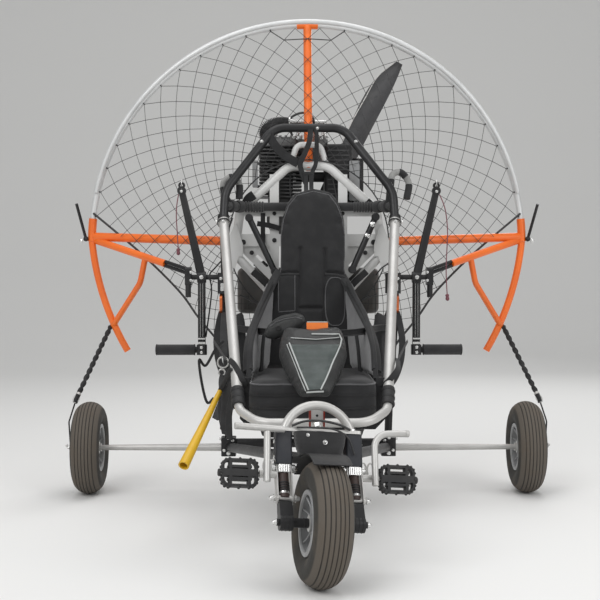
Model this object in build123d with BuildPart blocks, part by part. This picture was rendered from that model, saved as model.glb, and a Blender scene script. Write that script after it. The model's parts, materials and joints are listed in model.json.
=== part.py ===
"""A paramotor trike: a three-wheeled tube frame with a pedal-steered front fork, carrying a seat
harness, an engine unit and its round net cage. Millimetres, +Z up, the front wheel towards -Y."""

import os
from math import atan2, cos, degrees, hypot, radians, sin, sqrt, tan

from build123d import *

# Main driving dimensions
wheelbase = 1200
track = 1436
tyre_od = 300
tyre_width = 98
rake = 21
fork_offset = 32
fork_drop = 237
steer_at_rest = 12.5
hoop_y = 200
hoop_z = 830
hoop_radius = 738
hoop_tube = 22
prop_radius = 702
prop_y = 268
prop_angle = 27
hub_depth = 44
fit = 0.05
seat_gap = 0.3

# Tyre and rim section
crown_half = 36
crown_fall = 10
bead_radius = 72
bead_half = 34
bulge_radius = 112
rim_flange = 77
rim_wall = 5
hub_radius = 20
hub_half = 32
web_thickness = 9
spoke_count = 5
axle_pin = 8

# Base frame
beam_tube = 30
corner_x = 262
leg_root = 25
leg_tip = 17
axle_end_x = 785
head_tube_radius = 22
head_top = -18
head_bottom = -66
lug_point = (30, 200 - wheelbase, 268)
tow_hole = (0, 170 - wheelbase, 380)

# Fork
leg_x = 86
leg_width = 40
leg_depth = 36
leg_length = 78
plate_thickness = 8
arch_tube = 22
arch_half = 82
arch_angle = 75
link_gap = 32
link_plate = 3
link_length = 74
link_width = 26
upper_bolt = 8.5
lower_bolt = 7
damper_radius = 12.5
guard_gap = 8
guard_sheet = 3
pedal_y = -10
pedal_z = -122
pedal_centre = 192
pedal_long = 86
pedal_tall = 66
pedal_deep = 22
pedal_pin = 5
guard_tube = 16

# Seat loop and roll arch
side_tube = 30
seat_bar = 25
arch_bar = 28
loop_top = (272, -120, 889)
loop_joint = (209, -620, 378)

# Chassis of the engine unit
chassis_y = 10
chassis_tube = 30
rail_thickness = 16
gusset_thickness = 6
gusset_outline = ((228, 850), (100, 850), (100, 700), (118, 690), (226, 798))
end_plate_outline = ((214, 776), (214, 815), (235, 884), (241, 884), (270, 815), (270, 776))
end_tab_outline = ((228, 778), (262, 778), (252, 738), (240, 738))

# Side frames of the cage
spoke_tube = 30
leg_tube = 24
arm_start = (hoop_radius - 16, hoop_y - 2, 832)
arm_end = (468, -6, 753)

# Hand levers
pivot = (343, -100, 710)
grip_z = 478
grip_end = 488
lever_top = (406, -100, 1002)
lever_bar = 24
lever_groove = 4
eye_radius = 4
cord_diameter = 3.5
knot_radius = 6.5
knot_length = 22
cord_routes = {
    "left": (
        (-416, -100, 974),
        (-422, -101, 945),
        (-424, -102, 900),
        (-420, -101, 848),
        (-418, -100, 802),
    ),
    "right": (
        (416, -100, 974),
        (430, -101, 947),
        (439, -102, 905),
        (443, -102, 855),
        (441, -101, 803),
        (438, -101, 751),
        (439, -100, 701),
        (442, -100, 656),
    ),
}

# Wheel and frame geometry worked out from the sizes above
crown_radius = (crown_half**2 + crown_fall**2) / (2 * crown_fall)
tyre_radius = tyre_od / 2
rake_sin, rake_cos = sin(radians(rake)), cos(radians(rake))
turn_sin, turn_cos = sin(radians(steer_at_rest)), cos(radians(steer_at_rest))
core = tyre_radius - crown_radius
front_axle_z = core * sqrt(1 - (rake_sin * turn_sin) ** 2) + crown_radius
front_reach = wheelbase + core * sqrt(1 - (rake_cos * turn_sin) ** 2) + crown_radius
rear_reach = prop_y + hub_depth / 2 + 14
rear_axle_y = (front_reach - rear_reach) / 2
head_y = rear_axle_y - wheelbase + fork_drop * rake_sin + fork_offset * rake_cos * turn_cos
head_z = front_axle_z + fork_drop * rake_cos - fork_offset * rake_sin * turn_cos
fork_plane = Plane(
    origin=(0, head_y, head_z),
    x_dir=(turn_cos, rake_cos * turn_sin, -rake_sin * turn_sin),
    z_dir=(0, rake_sin, rake_cos),
)
head_plane = Plane(origin=(0, head_y, head_z), x_dir=(1, 0, 0), z_dir=(0, rake_sin, rake_cos))

os.makedirs("parts", exist_ok=True)


def at(x, y, z):
    """A place measured from the ground under the middle of the rear axle."""
    return Vector(x, y + rear_axle_y, z)


def on_fork(x, y, z):
    """A place in the fork's own frame: across, backwards and up along the steering axis."""
    return fork_plane.from_local_coords(Vector(x, y, z))


def mirrored(point, side):
    """The same place on the left (-1) or right (1) side."""
    return (side * point[0], point[1], point[2])


def tube(points, diameter, bends=None, mode=Mode.ADD):
    """Sweeps a round bar along straight runs, with a bend of the given radius at each corner."""
    with BuildLine() as path:
        if bends is None:
            Line(*points)
        else:
            FilletPolyline(*points, radius=bends)
    wire = path.wires()[0]
    with BuildSketch(Plane(origin=wire @ 0, z_dir=wire % 0)) as section:
        Circle(diameter / 2)
    sweep(sections=section.sketch, path=wire, mode=mode)


def widest_bends(points):
    """For each corner of a route, the widest bend that its shorter run allows."""
    runs = [end - start for start, end in zip(points, points[1:])]
    return [
        0.45 * min(before.length, after.length) / tan(radians(before.get_angle(after) / 2))
        for before, after in zip(runs, runs[1:])
    ]


def pin(start, end, radius, mode=Mode.ADD):
    """A plain cylinder from one place to another."""
    tube([start, end], 2 * radius, mode=mode)


def cone(start, end, start_radius, end_radius):
    """A tapered bar from one place to another."""
    axis = Vector(*end) - Vector(*start)
    with BuildSketch(Plane(origin=start, z_dir=axis)) as first:
        Circle(start_radius)
    with BuildSketch(Plane(origin=end, z_dir=axis)) as last:
        Circle(end_radius)
    loft(sections=[first.sketch, last.sketch])


def hoop_place(radius, angle, lean=0.0):
    """A place on a hoop, with the angle from +X and the hoop's lean forward about its diameter."""
    height = radius * sin(radians(angle))
    return at(
        radius * cos(radians(angle)),
        hoop_y - height * sin(radians(lean)),
        hoop_z + height * cos(radians(lean)),
    )


def on_hoop(inset, angle, side):
    """A place on the net hoop's plane, out from its circle by inset, on the left or right side."""
    spot = hoop_place(hoop_radius + inset, angle)
    return Vector(side * spot.X, spot.Y, spot.Z)


def hoop_arc(radius, start, end, diameter, lean=0.0):
    """Sweeps a bar along an arc of a hoop."""
    with BuildLine() as path:
        ThreePointArc(
            hoop_place(radius, start, lean),
            hoop_place(radius, (start + end) / 2, lean),
            hoop_place(radius, end, lean),
        )
    wire = path.wires()[0]
    with BuildSketch(Plane(origin=wire @ 0, z_dir=wire % 0)) as section:
        Circle(diameter / 2)
    sweep(sections=section.sketch, path=wire)


def save(piece, name):
    """Labels a finished piece and writes it."""
    piece.part.label = name
    export_step(piece.part, f"parts/{name}.step")


def wheel_section(centre, axle):
    """The plane of a wheel's half section: local x is the radius, local y runs along the axle."""
    up = Vector(0, 0, 1)
    radial = (up - axle * up.dot(axle)).normalized()
    return Plane(origin=centre, x_dir=radial, z_dir=radial.cross(axle))


def tyre_body(centre, axle):
    """A low-pressure tyre with a round crown and bulging walls."""
    with BuildSketch(wheel_section(centre, axle)) as section:
        with BuildLine():
            crown = ThreePointArc(
                (tyre_radius - crown_fall, -crown_half),
                (tyre_radius, 0),
                (tyre_radius - crown_fall, crown_half),
            )
            far = ThreePointArc(crown @ 1, (bulge_radius, tyre_width / 2), (rim_flange, bead_half))
            near = ThreePointArc(
                (rim_flange, -bead_half), (bulge_radius, -tyre_width / 2), crown @ 0
            )
            Polyline(far @ 1, (bead_radius, bead_half), (bead_radius, -bead_half), near @ 0)
        make_face()
    revolve(profiles=section.sketch, axis=Axis(centre, axle))


def rim_body(centre, axle):
    """A split rim: barrel with bead flanges, a dished web with openings, and the bearing hub."""
    plane = wheel_section(centre, axle)
    inner = bead_radius - rim_wall
    edge = bead_half + rim_wall
    with BuildSketch(plane) as barrel:
        with BuildLine():
            Polyline(
                (inner, -edge),
                (rim_flange, -edge),
                (rim_flange, -bead_half),
                (bead_radius, -bead_half),
                (bead_radius, bead_half),
                (rim_flange, bead_half),
                (rim_flange, edge),
                (inner, edge),
                close=True,
            )
        make_face()
        with Locations(((inner + hub_radius) / 2, 0)):
            Rectangle(inner - hub_radius + 4, web_thickness)
        with Locations(((hub_radius + axle_pin) / 2, 0)):
            Rectangle(hub_radius - axle_pin, 2 * hub_half)
    revolve(profiles=barrel.sketch, axis=Axis(centre, axle))
    pin(centre - axle * edge, centre + axle * edge, axle_pin + fit, mode=Mode.SUBTRACT)
    with BuildSketch(Plane(origin=centre, x_dir=plane.x_dir, z_dir=axle)) as windows:
        with PolarLocations((inner + hub_radius) / 2, spoke_count):
            SlotOverall(inner - hub_radius - 12, 17)
    extrude(windows.sketch, amount=web_thickness, both=True, mode=Mode.SUBTRACT)


# Wheels
axle_dir = Vector(1, 0, 0)
for side, word in ((-1, "left"), (1, "right")):
    hub = at(side * track / 2, 0, tyre_radius)
    with BuildPart() as rear_tyre:
        tyre_body(hub, axle_dir)
    save(rear_tyre, f"rear_tyre_{word}")
    with BuildPart() as rear_rim:
        rim_body(hub, axle_dir)
    save(rear_rim, f"rear_rim_{word}")

front_hub = on_fork(0, -fork_offset, -fork_drop)
with BuildPart() as front_tyre:
    tyre_body(front_hub, fork_plane.x_dir)
save(front_tyre, "front_tyre")
with BuildPart() as front_rim:
    rim_body(front_hub, fork_plane.x_dir)
save(front_rim, "front_rim")

# Rear axle legs: tapered silver tubes with the wheel pin, washers and the end stud for the ties
hub_inner = track / 2 - hub_half
hub_outer = track / 2 + hub_half
axle_legs = []
for side, word in ((-1, "left"), (1, "right")):
    with BuildPart() as axle_leg:
        cone(
            at(side * (corner_x + 24), 0, tyre_radius),
            at(side * (hub_inner - seat_gap - 6), 0, tyre_radius),
            leg_root / 2,
            leg_tip / 2,
        )
        pin(
            at(side * (hub_inner - seat_gap - 6), 0, tyre_radius),
            at(side * (hub_inner - seat_gap), 0, tyre_radius),
            13,
        )
        pin(
            at(side * (hub_inner - seat_gap), 0, tyre_radius),
            at(side * (hub_outer + 9), 0, tyre_radius),
            axle_pin,
        )
        pin(
            at(side * (hub_outer + seat_gap), 0, tyre_radius),
            at(side * (hub_outer + 9), 0, tyre_radius),
            13,
        )
        pin(
            at(side * (hub_outer + 9), 0, tyre_radius),
            at(side * axle_end_x, 0, tyre_radius),
            5,
        )
    save(axle_leg, f"axle_leg_{word}")
    axle_legs.append(axle_leg)

# Base frame: two beams from the rear corners to the head, cross tube, corner blocks and head tube
lug_x, lug_y, lug_z = lug_point
with BuildPart() as lower_frame:
    for side in (-1, 1):
        pin(at(side * corner_x, 0, tyre_radius), at(side * lug_x, lug_y, lug_z), beam_tube / 2)
        foot_plane = Plane(origin=at(side * corner_x, 0, tyre_radius - 26), z_dir=(0, 0, 1))
        with BuildSketch(foot_plane) as foot:
            RectangleRounded(48, 60, 9)
        extrude(foot.sketch, amount=60)
    pin(at(-corner_x, 0, tyre_radius + 14), at(corner_x, 0, tyre_radius + 14), beam_tube / 2)
    with BuildSketch(head_plane.offset(head_bottom)) as head_tube:
        Circle(head_tube_radius)
    extrude(head_tube.sketch, amount=head_top - head_bottom)
    with BuildSketch(head_plane.offset(head_bottom + 4)) as lug:
        with BuildLine():
            Polyline((-18, 0), (-18, 70), (-46, 122), (46, 122), (18, 70), (18, 0), close=True)
        make_face()
    extrude(lug.sketch, amount=head_top - head_bottom - 8)
    with BuildSketch(head_plane.offset(head_bottom)) as bore:
        Circle(axle_pin + fit)
    extrude(bore.sketch, amount=head_top - head_bottom, mode=Mode.SUBTRACT)
save(lower_frame, "lower_frame")

# Head bracket on top of the lug: a drilled silver plate between two red side plates
with BuildPart() as head_bracket:
    face_plane = Plane(origin=at(*tow_hole), x_dir=(1, 0, 0), z_dir=(0, -1, 0))
    with BuildSketch(face_plane) as face:
        RectangleRounded(30, 36, 3)
        Circle(3.5, mode=Mode.SUBTRACT)
    extrude(face.sketch, amount=-5)
save(head_bracket, "head_bracket")

with BuildPart() as head_plates:
    for side in (-1, 1):
        cheek_plane = Plane(
            origin=at(side * (15 + seat_gap), tow_hole[1] + 26, tow_hole[2] - 32),
            x_dir=(0, 1, 0),
            z_dir=(side, 0, 0),
        )
        with BuildSketch(cheek_plane) as cheek:
            RectangleRounded(58, 100, 6)
        extrude(cheek.sketch, amount=4)
    add(lower_frame.part, mode=Mode.SUBTRACT)
save(head_plates, "head_plates")

# Fork: crown plate with the steering bolt
crown_bottom = head_top + seat_gap
crown_top = crown_bottom + plate_thickness
with BuildPart() as fork_crown:
    with BuildSketch(fork_plane.offset(crown_bottom)) as crown_plate:
        RectangleRounded(2 * leg_x + 36, 42, 8)
    extrude(crown_plate.sketch, amount=plate_thickness)
    pin(on_fork(0, 0, head_bottom - 8), on_fork(0, 0, crown_top + 8), axle_pin)
    pin(on_fork(0, 0, head_bottom - 8), on_fork(0, 0, head_bottom - seat_gap), 13)
    pin(on_fork(0, 0, crown_top), on_fork(0, 0, crown_top + 8), 13)
save(fork_crown, "fork_crown")

# Fork arch: a round bar standing on the crown plate
arch_radius = arch_half / sin(radians(arch_angle))
arch_rise = arch_radius * (1 - cos(radians(arch_angle)))
with BuildPart() as fork_arch:
    with BuildLine() as arch_path:
        ThreePointArc(
            on_fork(-arch_half, 0, crown_top),
            on_fork(0, 0, crown_top + arch_rise),
            on_fork(arch_half, 0, crown_top),
        )
    with BuildSketch(Plane(origin=arch_path.line @ 0, z_dir=arch_path.line % 0)) as arch_section:
        Circle(arch_tube / 2)
    sweep(sections=arch_section.sketch, path=arch_path.wires()[0])
    with BuildSketch(fork_plane.offset(crown_top)) as arch_floor:
        Rectangle(300, 100)
    extrude(arch_floor.sketch, amount=-30, mode=Mode.SUBTRACT)
save(fork_arch, "fork_arch")

# Fork legs: black sleeves under the crown plate
leg_bottom = crown_bottom - leg_length
with BuildPart() as fork_legs:
    with BuildSketch(fork_plane.offset(leg_bottom)) as leg_section:
        with Locations((-leg_x, 0), (leg_x, 0)):
            RectangleRounded(leg_width, leg_depth, 7)
    extrude(leg_section.sketch, amount=leg_length)
save(fork_legs, "fork_legs")

# Links: clevis bolts and thin side plates that carry the rubber dampers
upper_z = leg_bottom - upper_bolt - seat_gap
lower_y = -fork_offset * 0.55
lower_z = upper_z - link_length
link_tilt = degrees(atan2(lower_z - upper_z, lower_y))
link_half = link_gap / 2 + link_plate
with BuildPart() as fork_links:
    for side in (-1, 1):
        for face in (-link_half, link_gap / 2):
            plate_plane = Plane(
                origin=on_fork(side * leg_x + face, lower_y / 2, (upper_z + lower_z) / 2),
                x_dir=fork_plane.y_dir,
                z_dir=fork_plane.x_dir,
            )
            with BuildSketch(plate_plane) as strip:
                SlotCenterToCenter(hypot(lower_y, lower_z - upper_z), link_width, rotation=link_tilt)
            extrude(strip.sketch, amount=link_plate)
        for y, z, radius in ((0, upper_z, upper_bolt), (lower_y, lower_z, lower_bolt)):
            pin(
                on_fork(side * leg_x - link_half - 8, y, z),
                on_fork(side * leg_x + link_half + 8, y, z),
                radius,
            )
    add(fork_legs.part, mode=Mode.SUBTRACT)
save(fork_links, "fork_links")

# Rubber dampers between the upper and lower bolts
with BuildPart() as dampers:
    for side in (-1, 1):
        pin(on_fork(side * leg_x, 0, upper_z), on_fork(side * leg_x, lower_y, lower_z), damper_radius)
    add(fork_links.part, mode=Mode.SUBTRACT)
save(dampers, "dampers")

# Front axle with its collars and the swing blocks that hang from the lower bolts
block_half = link_gap / 2 - 0.5
with BuildPart() as front_axle:
    pin(
        on_fork(-leg_x - link_half - 4, -fork_offset, -fork_drop),
        on_fork(leg_x + link_half + 4, -fork_offset, -fork_drop),
        axle_pin,
    )
    for side in (-1, 1):
        pin(
            on_fork(side * (hub_half + seat_gap), -fork_offset, -fork_drop),
            on_fork(side * leg_x, -fork_offset, -fork_drop),
            11,
        )
        block_plane = Plane(
            origin=on_fork(side * leg_x - block_half, -fork_offset, -fork_drop),
            x_dir=fork_plane.y_dir,
            z_dir=fork_plane.x_dir,
        )
        with BuildSketch(block_plane) as block:
            Circle(19)
            with BuildLine():
                Polyline(
                    (-17, 0),
                    (lower_y + fork_offset - 14, lower_z + fork_drop - 9),
                    (lower_y + fork_offset + 14, lower_z + fork_drop - 9),
                    (19, 0),
                    close=True,
                )
            make_face()
        extrude(block.sketch, amount=2 * block_half)
    add(fork_links.part, mode=Mode.SUBTRACT)
    add(dampers.part, mode=Mode.SUBTRACT)
save(front_axle, "front_axle")

# Mudguard: a curved sheet over the tyre, bridged to the inner faces of the legs
guard_inner = tyre_radius + guard_gap
guard_plane = Plane(
    origin=on_fork(0, -fork_offset, -fork_drop), x_dir=fork_plane.y_dir, z_dir=fork_plane.x_dir
)
with BuildPart() as mudguard:
    for start_angle, sweep_angle, half in ((56, 78, 46), (72, 13, leg_x - leg_width / 2 - seat_gap)):
        with BuildSketch(guard_plane.offset(-half)) as shell:
            with BuildLine():
                outer = CenterArc((0, 0), guard_inner + guard_sheet, start_angle, sweep_angle)
                inner = CenterArc((0, 0), guard_inner, start_angle, sweep_angle)
                Line(outer @ 0, inner @ 0)
                Line(outer @ 1, inner @ 1)
            make_face()
        extrude(shell.sketch, amount=2 * half)
save(mudguard, "mudguard")

# Foot guards: silver bars beside the pedals, with the fixed pedal spindles
spindle_start = leg_x + link_half + seat_gap
spindle_end = pedal_centre + pedal_long / 2 + 4
guard_x = 131
guard_y = -34
guard_high = -18
guard_low = -142
with BuildPart() as foot_guards:
    for side in (-1, 1):
        pin(
            on_fork(side * spindle_start, pedal_y, pedal_z),
            on_fork(side * (pedal_centre - pedal_long / 2 - 4), pedal_y, pedal_z),
            9,
        )
        pin(
            on_fork(side * (pedal_centre - pedal_long / 2 - 4), pedal_y, pedal_z),
            on_fork(side * spindle_end, pedal_y, pedal_z),
            pedal_pin,
        )
        pin(on_fork(side * guard_x, pedal_y, pedal_z), on_fork(side * guard_x, guard_y, pedal_z), 8)
    tube(
        [
            on_fork(guard_x, guard_y, guard_low),
            on_fork(guard_x, guard_y, guard_high),
            on_fork(guard_x + 80, guard_y - 16, guard_high),
        ],
        guard_tube,
        [34],
    )
    pin(
        on_fork(-guard_x, guard_y, guard_low),
        on_fork(-guard_x, guard_y, guard_high),
        guard_tube / 2,
    )
    pin(
        on_fork(-leg_x - 4, guard_y, guard_high),
        on_fork(-guard_x - 78, guard_y - 12, guard_high),
        guard_tube / 2,
    )
    for piece in (fork_crown, fork_legs, fork_links):
        add(piece.part, mode=Mode.SUBTRACT)
save(foot_guards, "foot_guards")

# Pedals: open cages turning on the spindles
for side, word in ((-1, "left"), (1, "right")):
    cage_plane = Plane(
        origin=on_fork(side * pedal_centre, pedal_y - pedal_deep / 2, pedal_z),
        x_dir=fork_plane.x_dir,
        z_dir=fork_plane.y_dir,
    )
    with BuildPart() as pedal:
        with BuildSketch(cage_plane) as cage:
            RectangleRounded(pedal_long, pedal_tall, 18)
            RectangleRounded(pedal_long - 12, pedal_tall - 12, 13, mode=Mode.SUBTRACT)
            with GridLocations(0, pedal_tall * 0.44, 1, 2):
                Rectangle(pedal_long - 30, 6)
            with GridLocations(pedal_long * 0.52, 0, 2, 1):
                Rectangle(7, pedal_tall - 10)
            Rectangle(pedal_long - 8, 17)
        extrude(cage.sketch, amount=pedal_deep)
        pin(
            on_fork(side * (pedal_centre - pedal_long), pedal_y, pedal_z),
            on_fork(side * (pedal_centre + pedal_long), pedal_y, pedal_z),
            pedal_pin + fit,
            mode=Mode.SUBTRACT,
        )
    save(pedal, f"pedal_{word}")

# Side tubes of the seat loop, with a clamp collar at each top
loop_run = Vector(*loop_top) - Vector(*loop_joint)
loop_dir = loop_run.normalized()
with BuildPart() as side_tubes:
    for side in (-1, 1):
        low = at(*mirrored(loop_joint, side))
        high = at(*mirrored(loop_top, side))
        pin(low, high, side_tube / 2)
        back = high + (low - high).normalized() * 14
        pin(back, high, side_tube / 2 + 4)
save(side_tubes, "side_tubes")

# Front bar of the seat loop, bent under the front of the seat
knee = Vector(*loop_joint) - loop_dir * 40
bar_corner = (150, -715, 322)
route = [loop_joint, tuple(knee), bar_corner]
left_route = [at(*mirrored(point, -1)) for point in route]
right_route = [at(*mirrored(point, 1)) for point in reversed(route)]
with BuildPart() as seat_tube:
    tube(left_route + right_route, seat_bar, [60, 75, 75, 60])
save(seat_tube, "seat_tube")

# Black wraps over the joints between the side tubes and the front bar
with BuildPart() as tube_wraps:
    for side in (-1, 1):
        joint = at(*mirrored(loop_joint, side))
        along = (at(*mirrored(loop_top, side)) - joint).normalized()
        pin(joint - along * 24, joint + along * 34, side_tube / 2 + 3)
    add(side_tubes.part, mode=Mode.SUBTRACT)
    add(seat_tube.part, mode=Mode.SUBTRACT)
save(tube_wraps, "tube_wraps")

# Roll arch over the harness
arch_route = [loop_top, (268, -95, 985), (112, -20, 1194)]
with BuildPart() as roll_arch:
    tube(
        [at(*mirrored(point, -1)) for point in arch_route]
        + [at(*mirrored(point, 1)) for point in reversed(arch_route)],
        arch_bar,
        [110, 70, 70, 110],
    )
    add(side_tubes.part, mode=Mode.SUBTRACT)
save(roll_arch, "roll_arch")

# Rear uprights from the corner blocks to the tops of the side tubes
with BuildPart() as uprights:
    for side in (-1, 1):
        pin(at(side * corner_x, 0, tyre_radius + 30), at(*mirrored(loop_top, side)), 12.5)
    for piece in (lower_frame, side_tubes, roll_arch):
        add(piece.part, mode=Mode.SUBTRACT)
save(uprights, "uprights")

# White chassis of the engine unit: two bent tubes, the hoop above them, rails, gussets and end plates
rail_plane = Plane(origin=at(0, chassis_y + rail_thickness / 2, 0), x_dir=(1, 0, 0), z_dir=(0, -1, 0))
face_y = chassis_y - chassis_tube / 2 + 2
with BuildPart() as chassis_frame:
    for route, diameter, bends in (
        (((242, 790), (224, 925), (64, 1073)), chassis_tube, [45, 60, 60, 45]),
        (((242, 815), (232, 775), (122, 655)), chassis_tube, [30, 50, 50, 30]),
        (((60, 1070), (38, 1142)), 20, [26, 26]),
    ):
        left = [at(-x, chassis_y, z) for x, z in route]
        right = [at(x, chassis_y, z) for x, z in reversed(route)]
        tube(left + right, diameter, bends)
    with BuildSketch(rail_plane) as rails:
        with Locations((0, 830)):
            Rectangle(484, 40)
        with Locations((0, 917)):
            Rectangle(446, 18)
        with Locations((-112, 850), (112, 850)):
            Rectangle(30, 390)
    extrude(rails.sketch, amount=rail_thickness)
    with BuildSketch(rail_plane) as gussets:
        for side in (-1, 1):
            with BuildLine():
                Polyline(*[(side * x, z) for x, z in gusset_outline], close=True)
            make_face()
            with Locations((side * 214, 823)):
                Circle(9, mode=Mode.SUBTRACT)
            with Locations((side * 186, 789)):
                Circle(6, mode=Mode.SUBTRACT)
            with Locations((side * 152, 762)):
                SlotOverall(52, 9, rotation=side * 45, mode=Mode.SUBTRACT)
    extrude(gussets.sketch, amount=gusset_thickness)
    end_plane = Plane(origin=at(0, face_y, 0), x_dir=(1, 0, 0), z_dir=(0, -1, 0))
    with BuildSketch(end_plane) as end_plates:
        for side in (-1, 1):
            for outline in (end_plate_outline, end_tab_outline):
                with BuildLine():
                    Polyline(*[(side * x, z) for x, z in outline], close=True)
                make_face()
    extrude(end_plates.sketch, amount=gusset_thickness)
save(chassis_frame, "chassis_frame")

# Padded bar in front of the chassis, held by the roll arch
bar_radius = 14
bar_z = 938
bar_y = chassis_y - chassis_tube / 2 - bar_radius - seat_gap
with BuildPart() as hang_bar:
    tube(
        [
            at(-270, -107, bar_z),
            at(-216, bar_y, bar_z),
            at(216, bar_y, bar_z),
            at(270, -107, bar_z),
        ],
        2 * bar_radius,
        [30, 30],
    )
    for piece in (roll_arch, side_tubes):
        add(piece.part, mode=Mode.SUBTRACT)
save(hang_bar, "hang_bar")

# Hang blocks clamped on the uprights, with the lever pivot pins
block_x = 268
with BuildPart() as hang_blocks:
    for side in (-1, 1):
        with BuildSketch(Plane(origin=at(side * block_x, -102, 658), z_dir=(0, 0, 1))) as body:
            RectangleRounded(46, 62, 8)
        extrude(body.sketch, amount=66)
        pin(at(side * block_x, pivot[1], pivot[2]), at(side * (pivot[0] + 36), pivot[1], pivot[2]), 8)
    add(uprights.part, mode=Mode.SUBTRACT)
save(hang_blocks, "hang_blocks")

# Carabiners in pairs under the hang blocks
with BuildPart() as carabiners:
    for side in (-1, 1):
        for shift in (-13, 13):
            hook_plane = Plane(
                origin=at(side * block_x + shift - 4, -114, 658 - 31 - seat_gap),
                x_dir=(0, 1, 0),
                z_dir=(1, 0, 0),
            )
            with BuildSketch(hook_plane) as ring:
                SlotOverall(62, 34, rotation=90)
                SlotOverall(44, 18, rotation=90, mode=Mode.SUBTRACT)
            extrude(ring.sketch, amount=8)
save(carabiners, "carabiners")

# Round net hoop and the second hoop that keeps lines off the cage
guard_lean = 5.4
with BuildPart() as net_hoop:
    hoop_arc(hoop_radius, 0, 180, hoop_tube)
save(net_hoop, "net_hoop")

with BuildPart() as guard_hoop:
    hoop_arc(hoop_radius + 2, 13, 167, 17, guard_lean)
    add(net_hoop.part, mode=Mode.SUBTRACT)
save(guard_hoop, "guard_hoop")

# Orange top spoke with its socket on the hoop
with BuildPart() as top_spoke:
    tube([at(0, hoop_y, hoop_z + hoop_radius - 4), at(0, 8, 1062)], 28)
    hoop_arc(hoop_radius, 87.2, 92.8, hoop_tube + 5)
    for piece in (net_hoop, guard_hoop, chassis_frame):
        add(piece.part, mode=Mode.SUBTRACT)
save(top_spoke, "top_spoke")

# Orange side frames: spoke, lower leg on the circle, forward arm and inner leg
cage_wings = []
for side, word in ((-1, "left"), (1, "right")):
    with BuildPart() as cage_wing:
        tube(
            [at(side * (hoop_radius - 10), hoop_y, hoop_z + 15), at(side * 246, chassis_y + 2, hoop_z - 4)],
            spoke_tube,
        )
        with BuildLine() as leg_path:
            ThreePointArc(
                on_hoop(0, 0, side),
                on_hoop(-12, -13.5, side),
                on_hoop(-15, -31.4, side),
            )
        leg_wire = leg_path.wires()[0]
        with BuildSketch(Plane(origin=leg_wire @ 0, z_dir=leg_wire % 0)) as leg_circle:
            Circle(leg_tube / 2)
        sweep(sections=leg_circle.sketch, path=leg_wire)
        start = at(*mirrored(arm_start, side))
        end = at(*mirrored(arm_end, side))
        tube([start, end], leg_tube)
        fork_point = start + (end - start) * 0.72
        knee_point = fork_point + Vector(side * 20, 24, -86)
        tube([fork_point, knee_point, on_hoop(-10, -23.5, side)], 20, [60])
        socket = (0, 6) if side > 0 else (174, 180)
        hoop_arc(hoop_radius, *socket, hoop_tube + 6)
        add(net_hoop.part, mode=Mode.SUBTRACT)
        add(chassis_frame.part, mode=Mode.SUBTRACT)
    save(cage_wing, f"cage_wing_{word}")
    cage_wings.append(cage_wing)

# Black twin rods that tie the side frames to the lever pivots, with their clamps and rubber stops
clamp_x = pivot[0] + 33
with BuildPart() as arm_tubes:
    for side in (-1, 1):
        for lift in (-6.5, 6.5):
            pin(
                at(side * arm_end[0], arm_end[1], arm_end[2] + lift),
                at(side * (clamp_x + 12), -72, 728 + lift),
                6,
            )
        with BuildSketch(Plane(origin=at(side * clamp_x, -92, 713), z_dir=(side, 0, 0))) as clamp:
            RectangleRounded(58, 46, 8)
        extrude(clamp.sketch, amount=20)
        pin(at(side * (clamp_x + 10), -104, 700), at(side * (clamp_x + 10), -104, 646), 9)
    add(hang_blocks.part, mode=Mode.SUBTRACT)
    for wing in cage_wings:
        add(wing.part, mode=Mode.SUBTRACT)
save(arm_tubes, "arm_tubes")

# Whisker rods on the hoop's sides
with BuildPart() as whiskers:
    for side in (-1, 1):
        foot = (side * (hoop_radius + 19), 188, 838)
        pin(at(*foot), at(side * (hoop_radius + 43), 142, 955), 5)
        with Locations(at(*foot)):
            Sphere(9)
    for hoop in (net_hoop, guard_hoop):
        add(hoop.part, mode=Mode.SUBTRACT)
    for wing in cage_wings:
        add(wing.part, mode=Mode.SUBTRACT)
save(whiskers, "whiskers")

# Engine: crankcase, finned cylinder, airbox, silencer, tank and belt drive
engine_y = 112
crank = (-72, 902)
with BuildPart() as engine_block:
    case_plane = Plane(origin=at(0, engine_y + 60, 0), x_dir=(1, 0, 0), z_dir=(0, -1, 0))
    with BuildSketch(case_plane) as case:
        with Locations(crank):
            Circle(66)
        with Locations((0, 822)):
            RectangleRounded(150, 104, 22)
        with Locations((-40, 870)):
            RectangleRounded(110, 70, 12)
    extrude(case.sketch, amount=86)
    for x, z in ((-58, hoop_z), (58, hoop_z), (-100, 917), (-40, 917)):
        pin(at(x, chassis_y + 8, z), at(x, engine_y, z), 9)
save(engine_block, "engine_block")

fin_count = 15
fin_pitch = 12
fin_low = 973
with BuildPart() as cylinder_fins:
    pin(at(-92, engine_y, 950), at(-92, engine_y, fin_low + fin_count * fin_pitch), 42)
    for index in range(fin_count):
        fin_plane = Plane(origin=at(-92, engine_y, fin_low + index * fin_pitch), z_dir=(0, 0, 1))
        with BuildSketch(fin_plane) as fin:
            RectangleRounded(142, 118, 16)
        extrude(fin.sketch, amount=4)
    add(engine_block.part, mode=Mode.SUBTRACT)
save(cylinder_fins, "cylinder_fins")

with BuildPart() as airbox:
    with BuildSketch(Plane(origin=at(100, engine_y, 952), z_dir=(0, 0, 1))) as box:
        RectangleRounded(92, 122, 16)
    extrude(box.sketch, amount=198)
    fillet(airbox.faces().sort_by(Axis.Z)[-1].edges(), 12)
    pin(at(166, engine_y, 940), at(166, engine_y, 1105), 21)
    pin(at(-40, engine_y, 1044), at(60, engine_y, 1044), 17)
    add(cylinder_fins.part, mode=Mode.SUBTRACT)
save(airbox, "airbox")

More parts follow.
